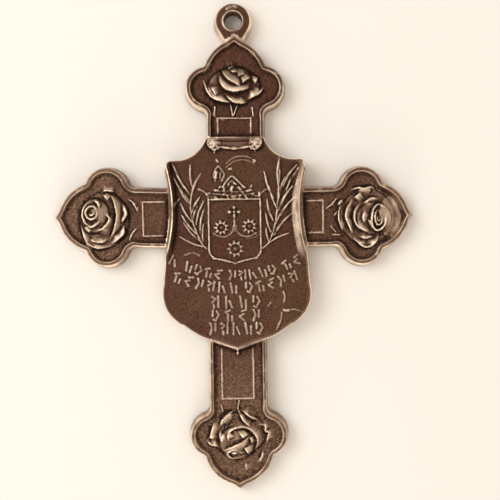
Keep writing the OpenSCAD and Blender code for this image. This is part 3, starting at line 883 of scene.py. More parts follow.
# %% Flaws
# (points, width, rise)
FLAWS = [
    ([(5.1, -8.2), (5.25, -8.8), (5.15, -9.35)], 0.2, 0.1),
    ([(5.15, -10.25), (5.6, -10.3)], 0.32, 0.14),
    ([(5.6, -10.15), (6.5, -10.25), (7.4, -10.55)], 0.14, 0.06),
    ([(4.9, -10.5), (4.75, -11.4), (4.3, -12.4)], 0.16, 0.08),
    ([(3.4, -9.8), (3.7, -9.4)], 0.16, 0.08),
    ([(-0.05, -14.6), (-0.05, -15.05)], 0.34, 0.9),
    ([(-5.7, -4.05), (-4.8, -3.8), (-4.1, -4.1)], 0.14, 0.07),
    ([(1.2, -2.3), (2.0, -2.2), (2.5, -1.95)], 0.12, 0.05),
]
BAIL_KNOCKS = [
    ([(-0.6, 23.35), (-0.2, 23.55)], 0.3, 0.12),
    ([(0.1, 23.62), (0.4, 23.5)], 0.24, 0.12),
]


print("flaws:", len(FLAWS) + len(BAIL_KNOCKS))


def add_flaws(points, z):
    for line, w, rise in FLAWS + BAIL_KNOCKS:
        ridge(points, z, spline(line), w, rise)


# %% [markdown]
# ## The height of the face
#
# Now the parts come together. The shield is blended into the plate with a small fillet, the
# relief is laid on, and last comes the grain: coarse and sharp on the sunken fields and panels,
# hardly there on rims and petals, which are worn smooth.


# %% Height of the face
def face_height(points):
    d_cross = inside(points, cross_line)
    d_shield = inside(points, shield_line)
    d_bail = inside(points, bail_line)
    plate = plate_height(points, d_cross)
    add_panels(points, plate)
    add_roses(points, plate)
    shield = shield_height(points, d_shield)
    on_face = d_shield > 0.3
    relief = np.full(len(points), SHIELD_T)
    add_scroll(points, relief)
    add_branches(points, relief)
    add_arms(points, relief)
    add_coronet(points, relief)
    add_strokes(points, relief)
    shield = np.where(on_face, shield + relief - SHIELD_T, shield)
    z = blend_max(plate, shield, 0.12)
    bail = np.where(d_cross < 0.5, bail_height(points, d_bail), OUTSIDE)
    z = blend_max(z, bail, 0.08)
    add_flaws(points, z)
    return z, d_cross, d_shield, d_bail


print("height in the shield's middle, mm:", face_height(np.array([[SHIELD_X, -2.0]]))[0])


def cast_surface(points, z, d_cross, d_shield):
    """The grain on top of the modelled height: sharp in the sunk fields, slight elsewhere."""
    sunk = ease((FIELD_T + 0.1 - z) / 0.1) * (d_cross > 0.7) * (d_shield < 0)
    open_face = ease((SHIELD_T + 0.05 - z) / 0.08) * (d_shield > 0.7)
    rough = 0.01 + 0.035 * sunk + 0.012 * open_face
    fine_grain = rough * (0.6 * grain(points, 0.16, 1) + 0.4 * grain(points, 0.34, 2))
    wavy = 0.02 * grain(points, 1.3, 3) + 0.03 * grain(points, 3.1, 4)
    return np.minimum(z + fine_grain + wavy, TOP_Z)


# %% [markdown]
# ## Where the mesh needs its points
#
# A plain grid would give stair-stepped rims. Instead the points follow the form: rings of points
# run parallel to each outline up the wall and over the rim, a fine net of points covers the
# relief, and a coarser one the fields. A constrained Delaunay triangulation joins them, and it
# keeps the outlines themselves as edges.


# %% Rings and nets of points
def offset(line, d, share=1.0):
    """The line moved in by d times share, with the points that the move folds over left out."""
    d = d * np.broadcast_to(share, len(line))
    ahead, behind = np.roll(line, -1, 0), np.roll(line, 1, 0)
    along = ahead - behind
    normal = np.column_stack([-along[:, 1], along[:, 0]]) / np.hypot(*along.T)[:, None]
    moved = line + d[:, None] * normal
    return moved[np.abs(inside(moved, line) - d) < 0.02]


def net(lo, hi, step, seed):
    """A triangular net of points over a box, each nudged a little."""
    rows = np.arange(lo[1], hi[1], step * math.sqrt(0.75))
    cols = np.arange(lo[0], hi[0], step)
    x, y = np.meshgrid(cols, rows)
    x[1::2] += step / 2
    nudge = np.random.default_rng(seed).uniform(-0.12, 0.12, (2, x.size)) * step
    return np.column_stack([x.ravel(), y.ravel()]) + nudge.T


EDGE_STEP = 0.14
cross_edge = even(cross_line, EDGE_STEP, closed=True)
shield_edge = even(shield_line, EDGE_STEP, closed=True)
bail_edge = even(bail_line, EDGE_STEP, closed=True)

rings = [offset(cross_edge, d, rim_share(cross_edge)) for d in WALL_IN[1:]]
shield_rings = [offset(shield_edge, d) for d in SHIELD_IN[1:-1] + [0.52, 0.66, 0.74, 0.82]]
bail_rings = [offset(bail_edge, d) for d in BAIL_IN[1:]]
eye_rings = [arc(EYE, EYE_R + d, 0, 360, EYE_STEPS)[:-1] for d in (0.03, 0.08, 0.16, 0.26, 0.36)]
fine = net([-9, -15], [9, 9.5], 0.112, 5)
rose_net = net([-18.8, -29], [18.8, 18.5], 0.115, 6)
coarse = net([-20, -30], [20, 24], 0.19, 7)
print("ring points:", sum(map(len, rings + shield_rings + bail_rings)))


# %% Keep each set of points to its own ground
def ground(points):
    """How deep each place lies in the cross, the shield and the bail, below 0 outside."""
    return inside(points, cross_line), inside(points, shield_line), inside(points, bail_line)


rose_centres = np.array([rose["body"][0][0] for rose in ROSES.values()])


def to_nearest_rose(points):
    return np.min([np.hypot(*(points - centre).T) for centre in rose_centres], axis=0)


def on_rims():
    points = np.vstack(rings)
    return points[inside(points, shield_line) < -0.07]


def on_bail_rim():
    points = np.vstack(bail_rings)
    return points[(inside(points, cross_line) < -0.03) & (past_eye(points) > 0.42)]


def on_roses():
    in_cross, in_shield, _ = ground(rose_net)
    return rose_net[(in_cross > 1.0) & (in_shield < -0.07) & (to_nearest_rose(rose_net) < 3.9)]


def on_panel_lines():
    """Close rows of points along each thin line, so that it comes out crisp."""
    points = np.vstack([
        even(np.array(line, float), 0.12) + [dx, dy]
        for line in panel_lines + short_bars for dx in (-0.1, -0.03, 0.05) for dy in (-0.1, -0.03, 0.05)
    ])
    in_cross, in_shield, _ = ground(points)
    return points[(in_cross > 0.8) & (in_shield < -0.1)]


def on_fields():
    in_cross, in_shield, in_bail = ground(coarse)
    field = (in_cross > 1.02) & (in_shield < -0.08) & (to_nearest_rose(coarse) > 4.0) & (in_bail < -0.05)
    bail = (in_bail > 0.6) & (past_eye(coarse) > 0.46) & ((in_cross < -0.1) | (in_cross > 1.02))
    return coarse[field | bail]


loose = np.vstack([
    on_rims(),
    np.vstack(shield_rings),
    on_bail_rim(),
    np.vstack(eye_rings),
    fine[inside(fine, shield_line) > 0.9],
    on_roses(),
    on_panel_lines(),
    on_fields(),
])
print("loose points:", len(loose))

# %% [markdown]
# ## One closed mesh
#
# The face and the back are triangulated one after the other from the same outlines, so their rims
# share the same points and can be joined into one watertight skin. The eye is left open by
# dropping the triangles inside it.


# %% Triangulate
def triangulate(extra):
    """Triangles over the three outlines and the extra points, open at the eye."""
    loops = [cross_edge, shield_edge, bail_edge]
    verts = np.vstack(loops + [eye_line, extra])
    starts = np.cumsum([0] + [len(loop) for loop in loops])
    faces = [list(range(a, b)) for a, b in zip(starts, starts[1:])]
    first = starts[-1]
    count = len(eye_line)
    edges = [(first + k, first + (k + 1) % count) for k in range(count)]
    flat = [Vector((float(x), float(y))) for x, y in verts]
    points, _, tris, _, _, owners = delaunay_2d_cdt(flat, edges, faces, 0, 1e-6, True)
    points = np.array([tuple(p) for p in points])
    tris = np.array([t for t, owner in zip(tris, owners) if owner])
    middle = points[tris].mean(1)
    tris = tris[past_eye(middle) > -0.01]
    used, again = np.unique(tris, return_inverse=True)
    return points[used], again.reshape(-1, 3)


def rim_points(tris, count):
    """True for each point on an open edge."""
    edges = np.sort(np.vstack([tris[:, [0, 1]], tris[:, [1, 2]], tris[:, [2, 0]]]), axis=1)
    keys, times = np.unique(edges[:, 0] * count + edges[:, 1], return_counts=True)
    open_edges = keys[times == 1]
    on_rim = np.zeros(count, bool)
    on_rim[open_edges // count] = True
    on_rim[open_edges % count] = True
    return on_rim


EYE_SEAM_Z = 1.0


def rim_height(points):
    """The seam between face and back: low on the outer wall, halfway up inside the eye."""
    return np.where(past_eye(points) < 0.05, EYE_SEAM_Z, EDGE_Z)


top, top_tris = triangulate(loose)
top_rim = rim_points(top_tris, len(top))
top_plain, top_cross, top_shield, top_bail = face_height(top)
top_z = cast_surface(top, top_plain, top_cross, top_shield)
top_z[top_rim] = rim_height(top[top_rim])
print("face:", len(top), "points", len(top_tris), "triangles")

# %% [markdown]
# ## The back
#
# The back lies on the sheet. Castings like this one are ground flat behind, with the edge just
# softened, so a coarse net of points is enough there. Only the edge and the eye get a few rings.

# %% The back, flat and plain
BACK_IN = [0.05, 0.14, 0.26, 0.42]
BACK_UP = [0.12, 0.05, 0.02, 0.0]
back_rings = [offset(edge, d) for edge in (cross_edge, shield_edge, bail_edge) for d in BACK_IN]
back_net = net([-20, -30], [20, 24], 0.55, 8)
back_loose = np.vstack(back_rings + [back_net])
deep = np.maximum.reduce(ground(back_loose))
is_net = np.arange(len(back_loose)) >= len(back_loose) - len(back_net)
keep = (deep > np.where(is_net, 0.6, 0.03)) & (past_eye(back_loose) > 0.35)
first_ring = np.concatenate([[0], np.cumsum([len(r) for r in back_rings])])
for k in range(len(back_rings)):
    here = slice(first_ring[k], first_ring[k + 1])
    keep[here] &= deep[here] < BACK_IN[k % len(BACK_IN)] + 0.02
back_eye = [arc(EYE, EYE_R + d, 0, 360, EYE_STEPS)[:-1] for d in (0.03, 0.1, 0.24)]
back, back_tris = triangulate(np.vstack([back_loose[keep]] + back_eye))
back_rim = rim_points(back_tris, len(back))
back_cross, back_shield, back_bail = ground(back)
deep = np.maximum.reduce([back_cross, back_shield, back_bail])
deep = np.minimum(deep, np.maximum(past_eye(back), 0))
back_z = np.interp(deep, [0] + BACK_IN, [EDGE_Z] + BACK_UP)
back_z[back_rim] = rim_height(back[back_rim])
print("back:", len(back), "points", len(back_tris), "triangles")

# %% Join face and back
verts = np.vstack([np.column_stack([top, top_z]), np.column_stack([back, back_z])])
tris = np.vstack([top_tris, back_tris[:, ::-1] + len(top)])
rim = np.concatenate([top_rim, back_rim])
keys = {}
alias = np.arange(len(verts))
for k in np.flatnonzero(rim):
    key = (round(verts[k, 0], 4), round(verts[k, 1], 4))
    alias[k] = keys.setdefault(key, k)
tris = alias[tris]
used, again = np.unique(tris, return_inverse=True)
verts, tris = verts[used], again.reshape(-1, 3)
edges = np.sort(np.vstack([tris[:, [0, 1]], tris[:, [1, 2]], tris[:, [2, 0]]]), axis=1)
_, times = np.unique(edges[:, 0] * len(verts) + edges[:, 1], return_counts=True)
print("skin:", len(verts), "points", len(tris), "triangles, open edges:", int((times != 2).sum()))

# %% [markdown]
# ## Where it is rubbed and where dirt stays
#
# Fingers polish whatever stands proud of its surroundings and never reach the hollows. So we ask
# of each place: is it higher than the metal round it? A height map, blurred to a few widths, gives
# the surroundings. The answers are kept on the mesh as attributes, which the material reads: one
# for bare metal, to which painted highlights on the sides facing the lamps are added further on,
# and `sunken` for dirt. A third says where the patina is paler as a whole: partly thin patina,
# partly painted light towards the lamps.

# %% A height map of the face
MAP_STEP = 0.09
RIM_Z = 2.2
map_lo, map_hi = np.array([-21.0, -31.2]), np.array([21.0, 25.2])
map_cols = np.arange(map_lo[0], map_hi[0], MAP_STEP)
map_rows = np.arange(map_lo[1], map_hi[1], MAP_STEP)
map_x, map_y = np.meshgrid(map_cols, map_rows)
map_z, map_cross, map_shield, map_bail = face_height(np.column_stack([map_x.ravel(), map_y.ravel()]))
map_deep = np.maximum.reduce([map_cross, map_shield, map_bail]).reshape(map_x.shape)
metal = (map_deep > 0).astype(float)
# a wall counts as its rim, so that the rim beside it doesn't seem to stand proud
map_z = np.where((map_cross > 0) & (map_cross < 0.3), np.maximum(map_z, RIM_Z), map_z)
map_z = np.where((map_shield > 0) & (map_shield < 0.3), SHIELD_T, map_z)
map_z = map_z.reshape(map_x.shape) * metal
print("height map:", map_z.shape)


def blurred(image, width):
    """A Gaussian blur of that width in millimetres, made with two one-way passes."""
    reach = max(1, int(3 * width / MAP_STEP))
    k = np.exp(-0.5 * (np.arange(-reach, reach + 1) * MAP_STEP / width) ** 2)
    k /= k.sum()
    for axis in (0, 1):
        image = np.apply_along_axis(lambda line: np.convolve(line, k, "same"), axis, image)
    return image


def at_points(image, points):
    """The map's value at each point, blended from the four cells round it."""
    p = (points - map_lo) / MAP_STEP
    i = np.clip(np.floor(p).astype(int), 0, np.array(image.shape)[::-1] - 2)
    col, row = i.T
    across, up = (p - i).T
    lower = image[row, col] * (1 - across) + image[row, col + 1] * across
    upper = image[row + 1, col] * (1 - across) + image[row + 1, col + 1] * across
    return lower * (1 - up) + upper * up


# %% Proud and sunken places
xy, z = verts[:, :2], verts[:, 2]
x, y = xy.T
plain = np.concatenate([top_plain, back_z])[used]
deep_cross = np.concatenate([top_cross, back_cross])[used]
deep_shield = np.concatenate([top_shield, back_shield])[used]
deep_bail = np.concatenate([top_bail, back_bail])[used]
# (width of the blur, its share in the plain relief, its share in the petals)
SURROUNDINGS = [(0.13, 0.6, 0.42), (0.32, 0.4, 0.5), (0.7, 0, 0.5)]
WEAR_GAIN = 2.4
worn_and_lit, sunken, petal_wear = np.zeros((3, len(verts)))
for width, share, on_petals in SURROUNDINGS:
    around = blurred(map_z, width) / np.maximum(blurred(metal, width), 0.05)
    step = WEAR_GAIN * (plain - at_points(around, xy)) / width
    worn_and_lit += share * np.clip(step, 0, 1)
    petal_wear += on_petals * np.clip(step, 0, 1)
    sunken += share * np.clip(-step - 0.08, 0, 1)
print("proud: mean %.3f, sunken: mean %.3f" % (worn_and_lit.mean(), sunken.mean()))

# %% [markdown]
# ## Wear and painted highlights on rims, edges and petals
#
# A height map is too coarse for a rim's crisp edges, but there we know the distance to the outline
# exactly, so their wear is drawn from that. Each rim has a bright line along its outer shoulder and
# a thinner one along its inner edge, with a few streaks between. The walls that face the foot and
# the left, where the lamps stand, get a painted highlight. It also strengthens the shoulder line
# on that side, and it fades towards the sheet the cross lies on.


# %% Rims
def line_at(d, middle, w):
    """1 where d is at the middle, fading over w."""
    return np.exp(-(((d - middle) / w) ** 2))


deep_rise_y, deep_rise_x = np.gradient(blurred(map_deep, 0.12), MAP_STEP)
# painted highlight: near 1 on walls and edges that face the lamps at the foot and the left, near 0 on those
# facing away
facing_lamps = ease(0.5 + 0.5 * at_points(0.55 * deep_rise_x + 0.75 * deep_rise_y, xy))
# painted highlight: near 1 on walls that face left or right, used on the bail
lit_from_sides = ease(np.abs(at_points(deep_rise_x, xy)))
uneven = 0.88 + 0.4 * grain(xy, 1.1, 11) + 0.25 * grain(xy, 0.35, 13)
# the walls' brightness: painted highlight on the sides facing the lamps, fading towards the sheet
wall = (0.3 + 1.0 * facing_lamps) * (0.3 + 0.7 * ease((plain - 0.2) / 1.5))

rim_d = deep_cross / rim_share(xy)
# the shoulder line is rubbed bright all round, and painted brighter still on the sides facing the lamps
shoulder = (0.9 + 1.3 * facing_lamps) * line_at(rim_d, 0.21, 0.055 + 0.02 * facing_lamps)
inner_edge = 1.15 * line_at(rim_d, 0.62, 0.045)
streaks = 0.03 + 0.9 * np.clip(grain(xy, 0.55, 14) - 0.35, 0, 1)
rim_wear_and_highlight = np.maximum.reduce([shoulder, inner_edge, np.where(rim_d < 0.19, wall, streaks)])
on_rim = (rim_d > -0.02) & (rim_d < 0.76) & (deep_shield < 0)
worn_and_lit[on_rim] = (rim_wear_and_highlight * uneven)[on_rim]
sunken[on_rim] = 0
# less dirt lies in the narrow ground beside a rim
sunken *= 1 - 0.55 * ease((1.6 - rim_d) / 0.4) * (deep_shield < -0.2)

# %% [markdown]
# ## Wear and painted highlights on the shield
#
# The shield stands higher than all else, so its edge is the brightest line of the whole casting, and
# its walls get the painted highlight on the sides that face the lamps. The rolled side rims shine
# along their crests. On the right one the hollow inside the crest faces the left lamp and carries a
# painted highlight, in fine lengthwise streaks, which are noise stretched eight times along the roll.

# %% The shield's edge and its rolled sides
worn_and_lit *= np.where(deep_shield > -0.02, 0.3 + 0.7 * ease((deep_shield - 0.45) / 0.6), 1)
edge_line = 2.3 * line_at(deep_shield, 0.22, 0.07)
# the shield's walls take the rims' painted highlight on the sides that face the lamps
edge_wear_and_highlight = np.maximum(edge_line, np.where(deep_shield < 0.17, 0.2 + 0.8 * wall, 0))
from_side = side_distance(xy, deep_shield)
rolled = roll_share(y)
# painted highlight: the right roll's inner cove faces the left lamp and is painted bright, in streaks
lit_cove_w = 0.85 + 0.5 * ease((5.5 - y) / 4)
lit_cove_lines = 1.5 * line_at(from_side, 0.92, 0.06) + 1.2 * line_at(from_side, lit_cove_w - 0.07, 0.07)
lit_cove_streaks = 0.85 + 0.6 * grain(np.column_stack([from_side, 0.12 * y]), 0.14, 15)
lit_cove = ease((from_side - 0.62) / 0.1) * ease((lit_cove_w - from_side) / 0.12) * (x > 0)
lit_cove *= np.maximum(lit_cove_streaks, lit_cove_lines)
side_wear_and_highlight = rolled * np.maximum(2.2 * line_at(from_side, 0.5, 0.075), lit_cove)
on_edge = (deep_shield > -0.02) & ((deep_shield < 0.4) | ((rolled > 0.05) & (from_side < 0.75)))
on_face = np.maximum(worn_and_lit, side_wear_and_highlight * uneven * (deep_shield > 0))
worn_and_lit = np.where(on_edge, np.maximum(edge_wear_and_highlight, side_wear_and_highlight) * uneven, on_face)
sunken[on_edge] = 0

# %% Roses: bright petals, and dirt deep between them
rose_here = ease((3.9 - to_nearest_rose(xy)) / 0.4) * (deep_cross > 0.9) * (deep_shield < 0)
worn_and_lit += (petal_wear - worn_and_lit) * rose_here
sunken *= 1 + 0.35 * rose_here
# the head's bud has kept its patina, and the right end's outer petal is worn evenly
bud = np.exp(-(((x - 0.35) / 1.2) ** 2) - ((y - 15.7) / 0.9) ** 2)
worn_and_lit *= 1 - 0.5 * bud
flat_petal = ease((1.15 - np.hypot((x - 17.35) / 1.15, (y - 0.1) / 2.1)) / 0.3)
past_whorl = np.hypot(x - 15.7, y + 0.2) > 1.55
worn_and_lit += (0.31 * uneven - worn_and_lit) * flat_petal * past_whorl
sunken *= 1 - 0.8 * flat_petal

# %% The scroll: bright curls on a dark bar
bar = ease((1.9 - np.abs(x)) / 0.3) * ease((y - 7.72) / 0.1) * ease((9 - y) / 0.2)
worn_and_lit *= 1 - 0.6 * bar
curls = np.exp(-(((np.abs(x) - 2.4) / 0.7) ** 2) - ((y - 8.0) / 0.8) ** 2)
worn_and_lit = np.maximum(worn_and_lit, 1.5 * curls * (plain > SHIELD_T + 0.25))

# %% The bail and the back
# painted highlight: the bail's walls that face left and right are painted bright; its edge line, eye lip
# and knocks are wear
bail_wear_and_highlight = np.maximum.reduce([
    (1 + lit_from_sides) * line_at(deep_bail, 0.24, 0.07),
    np.where(deep_bail < 0.2, 0.3 + 0.9 * lit_from_sides, 0),
    0.95 * line_at(past_eye(xy), 0.16, 0.09),
])
for line, w, _ in BAIL_KNOCKS:
    from_knock = from_line(xy, np.array(line))[0]
    bail_wear_and_highlight = np.maximum(bail_wear_and_highlight, 0.8 * line_at(from_knock, 0, 0.4 * w))
on_bail = (deep_bail > -0.02) & (deep_cross < 0) & (deep_shield < 0)
worn_and_lit[on_bail] = (bail_wear_and_highlight * uneven)[on_bail]
sunken[on_bail] = 0
BACK_WEAR = 0.2
on_back = np.arange(len(verts)) >= int((used < len(top)).sum())
worn_and_lit[on_back & (z < 0.1)] = BACK_WEAR

# %% [markdown]
# ## Where the patina is paler: thin patina and painted light
#
# Besides the bright edges, whole regions are a paler brown than the head. Towards the left end and
# most of all the foot this is painted light, paler towards the lamps at the left and the foot; the
# right end and the right arm's flat petal are paler as well. A few smooth steps across the cross say where.

# %% Thin patina and painted light
thin = (
    # painted light: paler towards the lamps at the left end and the foot, and over the lower half; the
    # right end, the arms beside the shield and the flat petal are paler too
    0.55 * ease((-x - 10.5) / 5)
    + 0.8 * ease((-y - 13) / 9)
    + 0.7 * ease((x - 13) / 3)
    + 0.14 * ease(np.abs(x) - 7.5)
    + 0.1 * ease(x - 7.5)
    + 0.15 * ease((-y - 4) / 5)
    + 0.3 * flat_petal
)
thin = np.clip(thin + 0.12 * grain(xy, 2.3, 12), 0, 1)
print("rubbed over %.0f%%, thin over %.0f%%" % (100 * (worn_and_lit > 0.5).mean(), 100 * (thin > 0.3).mean()))

# %% [markdown]
# ## The object in the scene
#
# The mesh is made in one go from its points and triangles, and the three measured values are stored
# as point attributes.

# %% Make the object
mesh = bpy.data.meshes.new("pendant_cross_skin")
coords = np.column_stack([verts[:, :2] + CROSSING, verts[:, 2]]) * MM
mesh.from_pydata(coords.tolist(), [], tris.tolist())
mesh.validate()
mesh.polygons.foreach_set("use_smooth", np.ones(len(mesh.polygons), bool))
for name, values in (("worn_and_lit", worn_and_lit), ("sunken", sunken), ("thin", thin)):
    layer = mesh.attributes.new(name, "FLOAT", "POINT")
    layer.data.foreach_set("value", values.astype(np.float32))
cross = bpy.data.objects.new("pendant_cross_casting", mesh)
bpy.context.scene.collection.objects.link(cross)
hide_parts("pendant_cross")
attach(cross, "root")
print("object:", len(mesh.vertices), "points", len(mesh.polygons), "faces")

# %% [markdown]
# ## Two finishes that mix
#
# Old bronze is two things at once: a thin brown patina, through which the metal still gleams a
# little, and bare metal where it is rubbed. The same bare colour also serves as painted highlight on
# walls and coves that face the lamps, and the patina is painted paler towards them. One Principled
# shader can be both if its colour, metallic and roughness all follow the same mask. The mask comes
# from two groups: `rubbed` breaks the measured high places and the painted highlights up with noise,
# so that the wear looks handled and not drawn, and `cast_grain` gives the fine tooth that is too
# small for the mesh. The patina itself drifts between a red and an olive brown in patches a few
# millimetres wide.


# %% Node helpers
def new_group(name, inputs, outputs):
    group = bpy.data.node_groups.new(name, "ShaderNodeTree")
    for label, value in inputs:
        socket = group.interface.new_socket(label, in_out="INPUT", socket_type="NodeSocketFloat")
        socket.default_value = value
    for label in outputs:
        group.interface.new_socket(label, in_out="OUTPUT", socket_type="NodeSocketFloat")
    return group, group.nodes.new("NodeGroupInput"), group.nodes.new("NodeGroupOutput")


def use_group(tree, group, **values):
    node = tree.nodes.new("ShaderNodeGroup")
    node.node_tree = group
    for label, value in values.items():
        node.inputs[label].default_value = value
    return node


def sum_node(tree, operation, a, b, clamp=False):
    """A Math node on two numbers or sockets."""
    node = tree.nodes.new("ShaderNodeMath")
    node.operation = operation
    node.use_clamp = clamp
    for socket, value in zip(node.inputs, (a, b)):
        if isinstance(value, (int, float)):
            socket.default_value = value
        else:
            tree.links.new(value, socket)
    return node.outputs[0]


def noise_node(tree, lump_mm, detail):
    """Noise in lumps of about that size, fixed to the object."""
    coords = tree.nodes.new("ShaderNodeTexCoord")
    noise = tree.nodes.new("ShaderNodeTexNoise")
    noise.inputs["Scale"].default_value = 1 / (lump_mm * MM)
    noise.inputs["Detail"].default_value = detail
    noise.inputs["Roughness"].default_value = 0.55
    tree.links.new(coords.outputs["Object"], noise.inputs["Vector"])
    return noise.outputs["Fac"]


def measured(tree, name):
    """One of the attributes that we measured on the mesh."""
    node = tree.nodes.new("ShaderNodeAttribute")
    node.attribute_name = name
    return node.outputs["Fac"]


# %% Group: rubbed metal
def rubbed_group():
    group, inlet, outlet = new_group("rubbed", [("Amount", 1.0), ("Breakup", 0.5)], ["Mask"])
    wander = sum_node(group, "ADD", noise_node(group, 2.5, 3), noise_node(group, 0.35, 2))
    wander = sum_node(group, "SUBTRACT", wander, 1.0)
    wander = sum_node(group, "MULTIPLY", wander, inlet.outputs["Breakup"])
    # the raised-place mask also carries painted highlights on walls and coves that face the lamps
    raised = sum_node(group, "MULTIPLY", measured(group, "worn_and_lit"), inlet.outputs["Amount"])
    dirt = sum_node(group, "MULTIPLY", measured(group, "sunken"), 0.8)
    raised = sum_node(group, "SUBTRACT", raised, dirt)
    mask = sum_node(group, "MULTIPLY", raised, sum_node(group, "ADD", wander, 1.0), clamp=True)
    group.links.new(mask, outlet.inputs["Mask"])
    return group


# %% Group: cast grain
def grain_group():
    """Fine lumps with a few small round pits between them."""
    group, inlet, outlet = new_group("cast_grain", [("Millimetres", 0.12)], ["Height"])
    coords = group.nodes.new("ShaderNodeTexCoord")
    per_metre = sum_node(group, "DIVIDE", 1.0 / MM, inlet.outputs["Millimetres"])
    noise = group.nodes.new("ShaderNodeTexNoise")
    noise.inputs["Detail"].default_value = 4
    noise.inputs["Roughness"].default_value = 0.65
    group.links.new(coords.outputs["Object"], noise.inputs["Vector"])
    group.links.new(per_metre, noise.inputs["Scale"])
    cells = group.nodes.new("ShaderNodeTexVoronoi")
    group.links.new(coords.outputs["Object"], cells.inputs["Vector"])
    group.links.new(sum_node(group, "MULTIPLY", per_metre, 0.3), cells.inputs["Scale"])
    from_pit = sum_node(group, "MULTIPLY", cells.outputs["Distance"], 4.0)
    pits = sum_node(group, "SUBTRACT", 1.0, from_pit, clamp=True)
    pit_depth = sum_node(group, "MULTIPLY", pits, 0.25)
    height = sum_node(group, "SUBTRACT", noise.outputs["Fac"], pit_depth)
    group.links.new(height, outlet.inputs["Height"])
    return group


# %% Bronze
PATINA_DEEP = (0.018, 0.0075, 0.0045, 1)
PATINA_RED = (0.102, 0.04, 0.0255, 1)
PATINA_OLIVE = (0.107, 0.0525, 0.0245, 1)
# a paler brown, used for thin patina and as painted light towards the lamps
PATINA_THIN_AND_LIT = (0.215, 0.12, 0.076, 1)
# bare metal, also used as the painted highlight on walls and coves that face the lamps
BARE_AND_HIGHLIGHT = (1.0, 0.82, 0.63, 1)


def mix_colour(tree, factor, a, b):
    mix = tree.nodes.new("ShaderNodeMix")
    mix.data_type = "RGBA"
    for socket, value in ((mix.inputs[0], factor), (mix.inputs[6], a), (mix.inputs[7], b)):
        if isinstance(value, tuple):
            socket.default_value = value
        else:
            tree.links.new(value, socket)
    return mix.outputs[2]


def patina_colour(tree, fine_height):
    """Brown in two shades, paler where the patina is thin and where light is painted on, near black in
    hollows and grain.
    """
    patches = sum_node(tree, "SUBTRACT", noise_node(tree, 5.5, 3), 0.42)
    patches = sum_node(tree, "MULTIPLY", patches, 3.2, clamp=True)
    brown = mix_colour(tree, patches, PATINA_RED, PATINA_OLIVE)
    brown = mix_colour(tree, measured(tree, "thin"), brown, PATINA_THIN_AND_LIT)
    speckle = sum_node(tree, "SUBTRACT", 0.5, fine_height)
    speckle = sum_node(tree, "ADD", sum_node(tree, "MULTIPLY", speckle, 3.0), 0.15)
    dirt = sum_node(tree, "MULTIPLY", measured(tree, "sunken"), 1.2)
    dirt = sum_node(tree, "ADD", dirt, speckle, clamp=True)
    return mix_colour(tree, dirt, brown, PATINA_DEEP)


def bare_and_highlight_mask(tree, fine_height):
    """1 on bare metal and painted highlights: the rubbed places, the walls and coves painted bright towards
    the lamps, and bright specks where the patina is paler.
    """
    rubbed = use_group(tree, rubbed_group(), Amount=0.65, Breakup=0.5)
    specks = sum_node(tree, "SUBTRACT", fine_height, 0.56, clamp=True)
    specks = sum_node(tree, "MULTIPLY", specks, 1.4)
    specks = sum_node(tree, "MULTIPLY", specks, measured(tree, "thin"))
    return sum_node(tree, "ADD", rubbed.outputs["Mask"], specks, clamp=True)


def bronze_material():
    material = bpy.data.materials.new("patinated_bronze")
    material.use_nodes = True
    tree = material.node_tree
    shader = tree.nodes["Principled BSDF"]
    fine_height = use_group(tree, grain_group(), Millimetres=0.18).outputs["Height"]
    mask = bare_and_highlight_mask(tree, fine_height)
    colour = mix_colour(tree, mask, patina_colour(tree, fine_height), BARE_AND_HIGHLIGHT)
    tree.links.new(colour, shader.inputs["Base Color"])
    metallic = sum_node(tree, "ADD", sum_node(tree, "MULTIPLY", mask, 0.15), 0.85, clamp=True)
    tree.links.new(metallic, shader.inputs["Metallic"])
    rough = sum_node(tree, "SUBTRACT", 0.5, sum_node(tree, "MULTIPLY", mask, 0.16))
    rough = sum_node(tree, "ADD", rough, sum_node(tree, "MULTIPLY", fine_height, 0.08))
    tree.links.new(rough, shader.inputs["Roughness"])
    bump = tree.nodes.new("ShaderNodeBump")
    bump.inputs["Strength"].default_value = 0.35
    bump.inputs["Distance"].default_value = 0.03 * MM
    tree.links.new(fine_height, bump.inputs["Height"])
    tree.links.new(bump.outputs["Normal"], shader.inputs["Normal"])
    return material


cross.data.materials.append(bronze_material())
print("bronze:", len(cross.data.materials[0].node_tree.nodes), "nodes")

# %% [markdown]
# ## Floor, light and camera
#
# The pendant lies on its back on a warm white sheet. The camera looks straight down from a hand's
# breadth, as a copy stand would. Most of the light is a broad, warm, even room, at a level where a
# colour comes out about as it is written. A window lamp up on the left gives the shadows their
# side, and a low lamp at the foot picks out the walls and folds that face it.

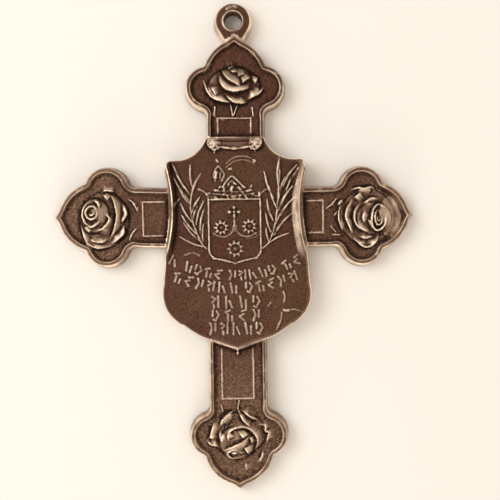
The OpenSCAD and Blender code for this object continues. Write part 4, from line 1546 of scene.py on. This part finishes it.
# %% Floor
FLOOR_HALF = 0.3
UNDER_THE_CROSS = 0.00002
floor_mesh = bpy.data.meshes.new("floor")
floor_corners = [(a * FLOOR_HALF, b * FLOOR_HALF, 0) for a, b in ((-1, -1), (1, -1), (1, 1), (-1, 1))]
floor_mesh.from_pydata(floor_corners, [], [(0, 1, 2, 3)])
floor = bpy.data.objects.new("floor", floor_mesh)
bpy.context.scene.collection.objects.link(floor)
floor.location.z = low[2] * MM - UNDER_THE_CROSS
paper = bpy.data.materials.new("warm_white_sheet")
paper.use_nodes = True
sheet = paper.node_tree.nodes["Principled BSDF"]
sheet.inputs["Base Color"].default_value = (0.855, 0.832, 0.787, 1)
sheet.inputs["Roughness"].default_value = 0.9
sheet.inputs["Specular IOR Level"].default_value = 0.1
floor.data.materials.append(paper)
print("floor at", floor.location.z)


# %% Lamps
def lamp(name, place, size, power, colour=(1, 1, 1)):
    """A square area lamp at place, in metres, facing the cross."""
    data = bpy.data.lights.new(name, "AREA")
    data.size = size
    data.energy = power
    data.color = colour
    thing = bpy.data.objects.new(name, data)
    bpy.context.scene.collection.objects.link(thing)
    thing.location = place
    thing.rotation_euler = (-Vector(place)).to_track_quat("-Z", "Y").to_euler()


lamp("window_left", (-0.18, 0.07, 0.25), 0.18, 0.42, (0.96, 0.99, 1.04))
lamp("low_foot", (-0.05, -0.3, 0.075), 0.12, 0.24)
world = bpy.data.worlds.new("room")
bpy.context.scene.world = world
world.use_nodes = True
room = world.node_tree.nodes["Background"]
room.inputs["Color"].default_value = (1.0, 0.9, 0.79, 1)
room.inputs["Strength"].default_value = 0.87

# %% Camera
VIEW_WIDTH = 55.73
CAMERA_UP = 105.0
CAMERA_AT = np.array([1.5, -3.6]) + CROSSING
CAMERA_TURN = -0.95
FOCUS_Z = 1.8
SENSOR_W = 36
camera_data = bpy.data.cameras.new("copy_stand")
camera_data.sensor_width = SENSOR_W
camera_data.lens = SENSOR_W * CAMERA_UP / VIEW_WIDTH
camera_data.clip_start = 0.005
camera = bpy.data.objects.new("copy_stand", camera_data)
camera.location = (CAMERA_AT[0] * MM, CAMERA_AT[1] * MM, (CAMERA_UP + FOCUS_Z) * MM)
camera.rotation_euler = (0, 0, math.radians(CAMERA_TURN))
bpy.context.scene.collection.objects.link(camera)
bpy.context.scene.camera = camera
bpy.context.scene.view_settings.view_transform = "Standard"
print("camera", round(1000 * camera.location.z), "mm up, lens", round(camera_data.lens, 1), "mm")
